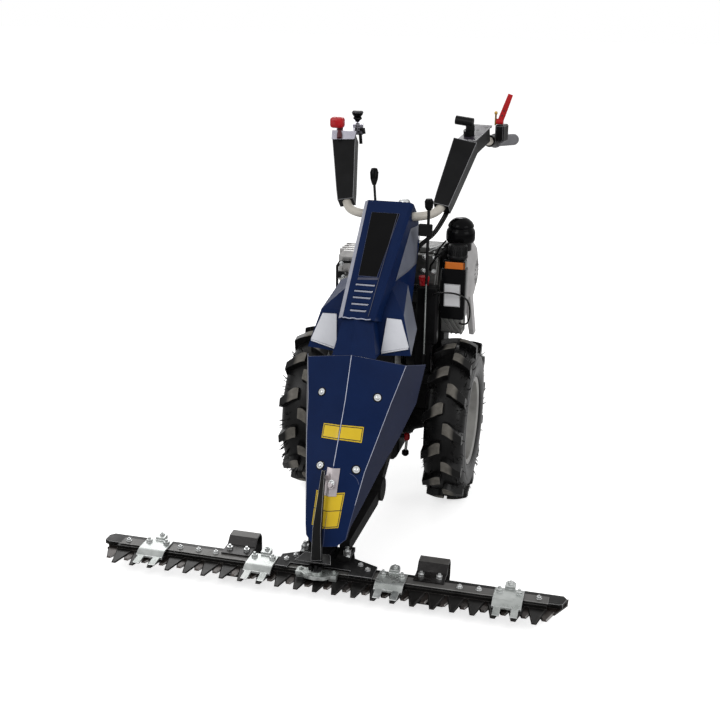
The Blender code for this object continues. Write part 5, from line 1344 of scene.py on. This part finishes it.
KNOB_STEM_TOP = 1.0965
COLLAR = ((0, 0.0100), (0.0115, 0.0100), (0.0138, 0.0125), (0.0138, 0.0150), (0.0120, 0.0190), (0, 0.0190))
COLLAR_PLACE = (-0.1724, 0.2612, 1.1073)
COLLAR_LEAN = Vector((0.05, -0.21, 0.98))
CLUTCH_ARM = (
    (0.1905, 0.2095, 1.0975), (0.1940, 0.2070, 1.1070), (0.1945, 0.2030, 1.1180), (0.1915, 0.2010, 1.1270),
    (0.1860, 0.2005, 1.1320),
)
CLUTCH_RADII = (0.0138, 0.0140, 0.0136, 0.0130, 0.0118)
CLUTCH_GRIP_Z = 1.118
BRAKE_FOOT = Vector((0.2620, 0.350, 1.1100))
BRAKE_TIP = Vector((0.2920, 0.362, 1.2026))
AHEAD_OF_LEVER = Vector((0, 0.006, 0))
STOP_PIN = (
    (0, 0), (0.0030, 0), (0.0030, 0.034), (0.0050, 0.034), (0.0050, 0.040), (0.0038, 0.043), (0, 0.043),
)
STOP_PIN_PLACE = (0.2515, 0.345, 1.1080)
GEAR_KNOB = 0.0360
# Ends of a thin bright zinc line down the front of the right gear lever
LEVER_LINE = ((0.1278, -0.0716, 0.475), (0.1278, -0.0716, 0.690))
GUIDE_SIZE = (0.040, 0.013, 0.036)
GUIDE_PLACE = (0.1200, -0.0685, 0.850)


class MOWER_OT_controls(bpy.types.Operator):
    """Makes the knobs and levers on the handlebar and beside the hood"""

    bl_idname = "mower.controls"
    bl_label = "Controls"

    def execute(self, context):
        dressed("stop_knob", ["red_plastic", "dark_red"], 0.0012, 3, "stop_knob", 20,
                pick=lambda centre, normal: 1 if centre.z < KNOB_STEM_TOP else 0)
        # The knob's rounded edges take a lighter grey as a painted highlight
        dressed("throttle_knob", ["gloss_black", "plastic_edge"], 0.0006, 2, "throttle_knob",
                edge_slot=1)
        collar = moved(lathe(COLLAR, 8), at(*COLLAR_PLACE), aim(COLLAR_LEAN))
        collar = rounded(to_object(collar, "throttle_collar", ["gloss_black"]), 0.0008, 2)
        settle(collar, "throttle_knob")
        # Left-facing faces of the clutch lever's grip take the lighter grey as a painted highlight
        dressed("clutch_lever", ["black_plastic", "plastic_edge"], None, 3, "clutch_lever",
                pick=lambda centre, normal: 1 if normal.x < -0.8 and centre.z > CLUTCH_GRIP_Z else 0)
        arm = ((CLUTCH_RADII, CLUTCH_ARM),)
        lines("clutch_arm", arm, "black_plastic", "clutch_lever", 20)
        # The lever's rounded edges take a light red as a painted highlight
        dressed("brake_lever", ["red_paint", "red_edge"], 0.0010, 2, "brake_lever", edge_slot=1)
        holes = [BRAKE_FOOT.lerp(BRAKE_TIP, share) - AHEAD_OF_LEVER for share in (0.30, 0.46)]
        # Dark discs that paint the shade in the lever's holes
        spots("lever_holes", 0.0024, 0.0005, nearest("brake_lever", holes), "dark_print", "brake_lever")
        pin = moved(lathe(STOP_PIN, 16), at(*STOP_PIN_PLACE))
        settle(to_object(pin, "stop_pin", ["brass"]))
        for _, side_name in SIDES:
            name = f"gear_lever_{side_name}"
            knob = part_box(name)[1].z - GEAR_KNOB
            dressed(name, ["black_paint", "gloss_black"], 0.0006, 2, name,
                    pick=lambda centre, normal: 1 if centre.z > knob else 0)
        # Thin bright zinc line down the front of the right gear lever
        lines("lever_wear", ((0.0021, LEVER_LINE),), "zinc", "gear_lever_right")
        guide = block("lever_guide", GUIDE_SIZE, at(*GUIDE_PLACE), "black_plastic", 0.003, 3)
        settle(guide, "gear_lever_right")
        return {"FINISHED"}


# Engine

HEAD_BOLTS = ((0.1000, 0.020, 0.706), (0.1320, 0.020, 0.706), (0.1320, 0.036, 0.744), (0.1000, 0.036, 0.744))
SPRING_START = Vector((0.1120, 0.052, 0.7660))
SPRING_RUN = Vector((0.0420, -0.010, 0.0180))
SPRING_STEPS = 96
SPRING_RADIUS = 0.0042
SPRING_TURN = 0.785
FAN_CENTRE = Vector((0.190, 0.140, 0.685))
SLOTS = 14
SLOT_CIRCLE = 0.030
SLOT_SIZE = (0.0040, 0.0180, 0.0012)
TANK_FILM = (
    (0.1795, -0.062, 0.6935), (0.2270, -0.062, 0.6935), (0.2285, -0.062, 0.6260), (0.1808, -0.062, 0.6260),
)
TANK_STRIP = (
    (0.1800, -0.062, 0.7590), (0.2350, -0.062, 0.7590), (0.2360, -0.062, 0.7390), (0.1790, -0.062, 0.7390),
)
FUEL_CAP = (
    (0, 0.0440), (0.0225, 0.0440), (0.0258, 0.0425), (0.0272, 0.0400), (0.0272, 0.0130), (0.0296, 0.0112),
    (0.0296, 0.0045), (0.0268, 0.0030), (0.0268, 0.0), (0, 0.0),
)
CAP_RIBS = 28
CAP_RIB_SIZE = (0.0030, 0.0030, 0.0260)
CAP_RIB_PLACE = Vector((0.0274, 0, 0.0265))
AIR_CLEANER = (
    (0, 0.0738), (0.0120, 0.0735), (0.0180, 0.0722), (0.0192, 0.0712), (0.0240, 0.0690),
    (0.0330, 0.0612), (0.0378, 0.0530), (0.0390, 0.0490), (0.0376, 0.0458), (0.0368, 0.0440),
    (0.0382, 0.0418), (0.0415, 0.0370), (0.0430, 0.0300), (0.0434, 0.0140), (0.0425, 0.0070),
    (0.0390, 0.0010), (0.0370, 0.0), (0, 0.0),
)
AIR_CLEANER_PLACE = (0.2065, 0.035, 0.7990)
GUARD_BOLTS = ((-0.1340, -0.036, 0.683), (-0.1400, -0.036, 0.722))
CHOKE_LINK = (
    (0.0034, ((0.1206, 0.0190, 0.7120), (0.1280, -0.0060, 0.7330), (0.1450, -0.0140, 0.7600),
              (0.1740, -0.0020, 0.7860))),
    (0.0030, ((0.1330, 0.0100, 0.7400), (0.1480, 0.0080, 0.7800), (0.1680, 0.0100, 0.8060))),
)
THROTTLE_ROD = (
    (0.0020, ((0.1080, 0.060, 0.7560), (0.1330, 0.040, 0.7720), (0.1600, 0.030, 0.7800))),
    (0.0032, ((0.1350, 0.020, 0.7540), (0.1350, 0.004, 0.7700))),
)
CABLE_ROUTE = (
    (0.1660, 0.094, 0.918), (0.1560, 0.064, 0.886), (0.1460, 0.040, 0.860), (0.1240, 0.012, 0.822),
    (0.0780, 0.004, 0.774), (0.0580, -0.012, 0.700), (0.0500, -0.014, 0.560), (0.0500, -0.014, 0.4110),
)
SECOND_CABLE = Vector((0.0072, 0.004, 0))
CABLE_RADIUS = 0.0042
TIE_SIZE = (0.020, 0.014, 0.007)
TIES = ((0.0820, 0.008, 0.7740), (0.0536, -0.012, 0.560))
LOOP_ROUTE = (
    (0.1470, -0.0624, 0.660), (0.1470, -0.0700, 0.660), (0.1530, -0.0750, 0.664), (0.1850, -0.0790, 0.671),
    (0.2250, -0.0780, 0.668), (0.2520, -0.0620, 0.645), (0.2560, -0.0380, 0.600), (0.2440, 0.000, 0.5620),
    (0.2280, 0.0240, 0.5490), (0.2150, 0.0370, 0.5460), (0.2150, 0.0430, 0.5460),
)
LOOP_RADIUS = 0.0028


def case_finish(centre, normal):
    """Bright cast metal painted on the front-facing faces of the crankcase below the tank, as a highlight."""
    return 1 if centre.z < 0.60 and centre.x > 0.14 and normal.y < -0.5 else 0


def spring_line():
    """Coils of the governor's spring."""
    points = []
    for i in range(SPRING_STEPS + 1):
        centre = SPRING_START + SPRING_RUN * i / SPRING_STEPS
        points.append(centre + around(i * SPRING_TURN, SPRING_RADIUS))
    return points


def make_recoil_slots():
    """Narrow dark slots round the recoil cover, dark blocks that paint the shade inside them."""
    tree = surface_of("fan_housing")
    places = []
    for angle in turns(SLOTS):
        radial = around(angle)
        spot, normal = met(tree, FAN_CENTRE + radial * SLOT_CIRCLE, -ACROSS)
        across = radial.cross(normal).normalized()
        places.append((spot, Matrix((across, normal.cross(across), normal)).transposed(), 1.0))
    slot = block("slot", SLOT_SIZE, Vector(), "dark_print", 0.0004, 1)
    set_copies("recoil_slots", slot, places, "dark_print")


def make_fuel_cap():
    """Cap with grip ribs all round."""
    low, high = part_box("fuel_cap")
    foot = Vector(((low.x + high.x) / 2, (low.y + high.y) / 2, low.z))
    cap = to_object(moved(lathe(FUEL_CAP, 56), foot), "cap", ["black_plastic"])
    places = []
    for angle in turns(CAP_RIBS):
        turn = Matrix.Rotation(angle, 3, "Z")
        places.append((foot + turn @ CAP_RIB_PLACE, turn, 1.0))
    rib = block("rib", CAP_RIB_SIZE, Vector(), "black_plastic", 0.0006, 1)
    ribs = copies("cap_ribs", rib, places, "black_plastic")
    cap = sharp(joined_meshes([cap, ribs], "fuel_cap_finished"), 40)
    settle(cap, "fuel_cap", ("fuel_cap",))


def make_cables():
    """Both control cables with their ties, and the engine's looped cable."""
    parts = []
    for shift in (Vector(), SECOND_CABLE):
        line = [at(*(Vector(point) + shift)) for point in smooth_line(CABLE_ROUTE, 8)]
        parts.append(tube("cable", line, CABLE_RADIUS, "cable_black", 16))
    parts += [block("tie", TIE_SIZE, at(*place), "black_plastic", 0.002, 3) for place in TIES]
    settle(joined_meshes(parts, "control_cables_finished"), replaced=("control_cables",))
    line = [at(*point) for point in smooth_line(LOOP_ROUTE, 8)]
    loop = tube("engine_cable_finished", line, LOOP_RADIUS, "cable_black", 14)
    settle(loop, replaced=("engine_cable",))


class MOWER_OT_engine(bpy.types.Operator):
    """Makes the gearbox, the engine with its tank and air cleaner, the muffler and the cables"""

    bl_idname = "mower.engine"
    bl_label = "Engine"

    def execute(self, context):
        dressed("gearbox", ["black_cast"], 0.0020)
        # Crankcase, cylinder and head take bright cast metal on their rounded edges as a painted highlight
        cast = ["engine_dark", "cast_metal"]
        dressed("crankcase", cast, None, 3, edge_slot=1, pick=case_finish)
        dressed("cylinder", cast, 0.0008, edge_slot=1)
        dressed("cylinder_head", cast, None, 3, edge_slot=1)
        bolt = hex_bolt(0.012, 0.007, 0.0080, 0.002)
        set_copies("head_bolts", bolt, nearest("cylinder_head", HEAD_BOLTS), "bright_zinc")
        lines("governor_spring", ((0.0009, spring_line()),), "bright_zinc", sides=6)
        dressed("front_cowl", ["black_plastic"], 0.0020, 3)
        dressed("filler_cap", ["red_plastic"], 0.0012, body="filler_cap")
        dressed("fan_housing", ["pale_paint"], 0.0020, 3)
        make_recoil_slots()
        dressed("starter_grip", ["black_plastic"], None, 3, "starter_grip")
        # The tank's rounded edges take a lighter grey as a painted highlight
        dressed("fuel_tank", ["gloss_black", "plastic_edge"], 0.0012, edge_slot=1)
        tank = surface_of("fuel_tank")
        film("tank_film", tank, TANK_FILM, ["white_film", "rail_grey"], line=0.0009)
        film("tank_strip", tank, TANK_STRIP, ["orange_film"])
        make_fuel_cap()
        dressed("air_duct", ["black_plastic"], 0.0012)
        cleaner = moved(lathe(AIR_CLEANER, 72), at(*AIR_CLEANER_PLACE))
        settle(to_object(cleaner, "air_cleaner_finished", ["gloss_black"]),
               replaced=("air_cleaner_dome",))
        dressed("carburettor", ["cast_metal"], 0.0010)
        dressed("muffler", ["muffler_steel"], None, 3)
        # The guard's rounded edges take a light grey as a painted highlight
        dressed("muffler_guard", ["black_paint", "black_edge"], 0.0006, edge_slot=1)
        bolt = round_bolt(0.0045, 0.0070)
        set_copies("guard_bolts", bolt, nearest("muffler_guard", GUARD_BOLTS), "bright_zinc")
        lines("choke_link", CHOKE_LINK, "black_paint")
        lines("throttle_rod", THROTTLE_ROD, "bright_zinc")
        make_cables()
        return {"FINISHED"}


# Studio

FLOOR_COLOUR = (0.86, 0.86, 0.86, 1.0)
FLOOR_GLOW = 0.68
WHITE = (1.0, 1.0, 1.0, 1.0)
ROOM_LEVEL = 0.46
LAMP_TARGET = Vector((0.0, 0.0, 0.5))
# Name, place, size and watts
LAMPS = (
    ("key", (-2.0, -3.3, 3.4), (2.4, 2.4), 78),
    ("fill", (3.4, -1.8, 2.4), (2.4, 2.0), 48),
    ("back", (-1.6, 3.4, 2.6), (2.8, 1.8), 55),
)
CAMERA_AT = (0.71933755, -3.19658747, 1.52836575)
CAMERA_YAW = 14.15716
CAMERA_DOWN = 18.72147
CAMERA_ROLL = -0.86359
CAMERA_LENS = 55.85


def pale_floor():
    """Near white floor that keeps the shadow and looks white to the camera."""
    found = bpy.data.materials.new("pale_floor")
    found.use_nodes = True
    tree = found.node_tree
    shader = tree.nodes["Principled BSDF"]
    for label, value in (("Base Color", FLOOR_COLOUR), ("Roughness", 0.9), ("Specular IOR Level", 0.1),
                         ("Emission Color", WHITE)):
        shader.inputs[label].default_value = value
    rays = add_node(tree, "ShaderNodeLightPath")
    level = add_node(tree, "ShaderNodeMath", {1: FLOOR_GLOW}, operation="MULTIPLY")
    wire(tree, (rays, "Is Camera Ray", level, 0), (level, "Value", shader, "Emission Strength"))
    return found


def pale_world():
    """White to the camera, in metal and through glass, and dimmer as light."""
    world = bpy.data.worlds.new("studio")
    world.use_nodes = True
    tree = world.node_tree
    tree.nodes.clear()
    rays = add_node(tree, "ShaderNodeLightPath")
    seen = add_node(tree, "ShaderNodeMath", operation="MAXIMUM")
    clear = add_node(tree, "ShaderNodeMath", operation="MAXIMUM")
    level = add_node(tree, "ShaderNodeMapRange", {"To Min": ROOM_LEVEL, "To Max": 1.0})
    glow = add_node(tree, "ShaderNodeBackground", {"Color": WHITE})
    end = add_node(tree, "ShaderNodeOutputWorld")
    wire(tree, (rays, "Is Camera Ray", seen, 0), (rays, "Is Glossy Ray", seen, 1), (seen, "Value", clear, 0),
         (rays, "Is Transmission Ray", clear, 1), (clear, "Value", level, "Value"),
         (level, "Result", glow, "Strength"), (glow, "Background", end, "Surface"))
    return world


def studio_lamp(name, place, size, power):
    data = bpy.data.lights.new(name, "AREA")
    data.shape = "RECTANGLE"
    data.size, data.size_y = size
    data.energy = power
    lamp = bpy.data.objects.new(name, data)
    lamp.location = place
    lamp.rotation_euler = (LAMP_TARGET - Vector(place)).to_track_quat("-Z", "Y").to_euler()
    bpy.context.scene.collection.objects.link(lamp)


def studio_camera():
    """Camera at the photographed angle."""
    yaw = math.radians(CAMERA_YAW)
    down = math.radians(CAMERA_DOWN)
    roll = math.radians(CAMERA_ROLL)
    ahead = Vector((-math.sin(yaw) * math.cos(down), math.cos(yaw) * math.cos(down), -math.sin(down)))
    right = Vector((math.cos(yaw), math.sin(yaw), 0.0))
    below = ahead.cross(right)
    turned_right = right * math.cos(roll) + below * math.sin(roll)
    turned_below = below * math.cos(roll) - right * math.sin(roll)
    lens = bpy.data.cameras.new("camera")
    lens.sensor_width = 36.0
    lens.lens = CAMERA_LENS
    camera = bpy.data.objects.new("camera", lens)
    turn = Matrix((turned_right, -turned_below, -ahead)).transposed().to_4x4()
    camera.matrix_world = Matrix.Translation(at(*CAMERA_AT)) @ turn
    return camera


class MOWER_OT_studio(bpy.types.Operator):
    """Makes the floor, the lamps and the camera"""

    bl_idname = "mower.studio"
    bl_label = "Studio"

    def execute(self, context):
        scene = context.scene
        data = bmesh.new()
        bmesh.ops.create_grid(data, x_segments=8, y_segments=8, size=30.0)
        mesh = bpy.data.meshes.new("floor")
        data.to_mesh(mesh)
        data.free()
        mesh.materials.append(pale_floor())
        floor = bpy.data.objects.new("floor", mesh)
        scene.collection.objects.link(floor)
        scene.world = pale_world()
        for name, place, size, power in LAMPS:
            studio_lamp(name, place, size, power * scene.mower.light)
        scene.camera = studio_camera()
        scene.collection.objects.link(scene.camera)
        scene.view_settings.view_transform = "Standard"
        return {"FINISHED"}


class MOWER_PT_panel(bpy.types.Panel):
    """Sizes of the mower's small parts, and the operators that make them"""

    bl_idname = "MOWER_PT_panel"
    bl_label = "Motor mower"
    bl_space_type = "VIEW_3D"
    bl_region_type = "UI"
    bl_category = "Mower"

    def draw(self, context):
        layout = self.layout
        settings = context.scene.mower
        for name in ("edge", "lugs", "hairs", "hair_length", "light"):
            layout.prop(settings, name)
        for operator in OPERATORS:
            layout.operator(operator.bl_idname)


OPERATORS = (
    MOWER_OT_wheels, MOWER_OT_cutter_bar, MOWER_OT_drive, MOWER_OT_hoods, MOWER_OT_handlebar,
    MOWER_OT_controls, MOWER_OT_engine, MOWER_OT_studio,
)
CLASSES = (MowerSettings, *OPERATORS, MOWER_PT_panel)


def register():
    for item in CLASSES:
        bpy.utils.register_class(item)
    bpy.types.Scene.mower = bpy.props.PointerProperty(type=MowerSettings)


def unregister():
    del bpy.types.Scene.mower
    for item in reversed(CLASSES):
        bpy.utils.unregister_class(item)


def main():
    register()
    for operator in OPERATORS:
        group, name = operator.bl_idname.split(".")
        getattr(getattr(bpy.ops, group), name)()


if __name__ == "__main__":
    main()
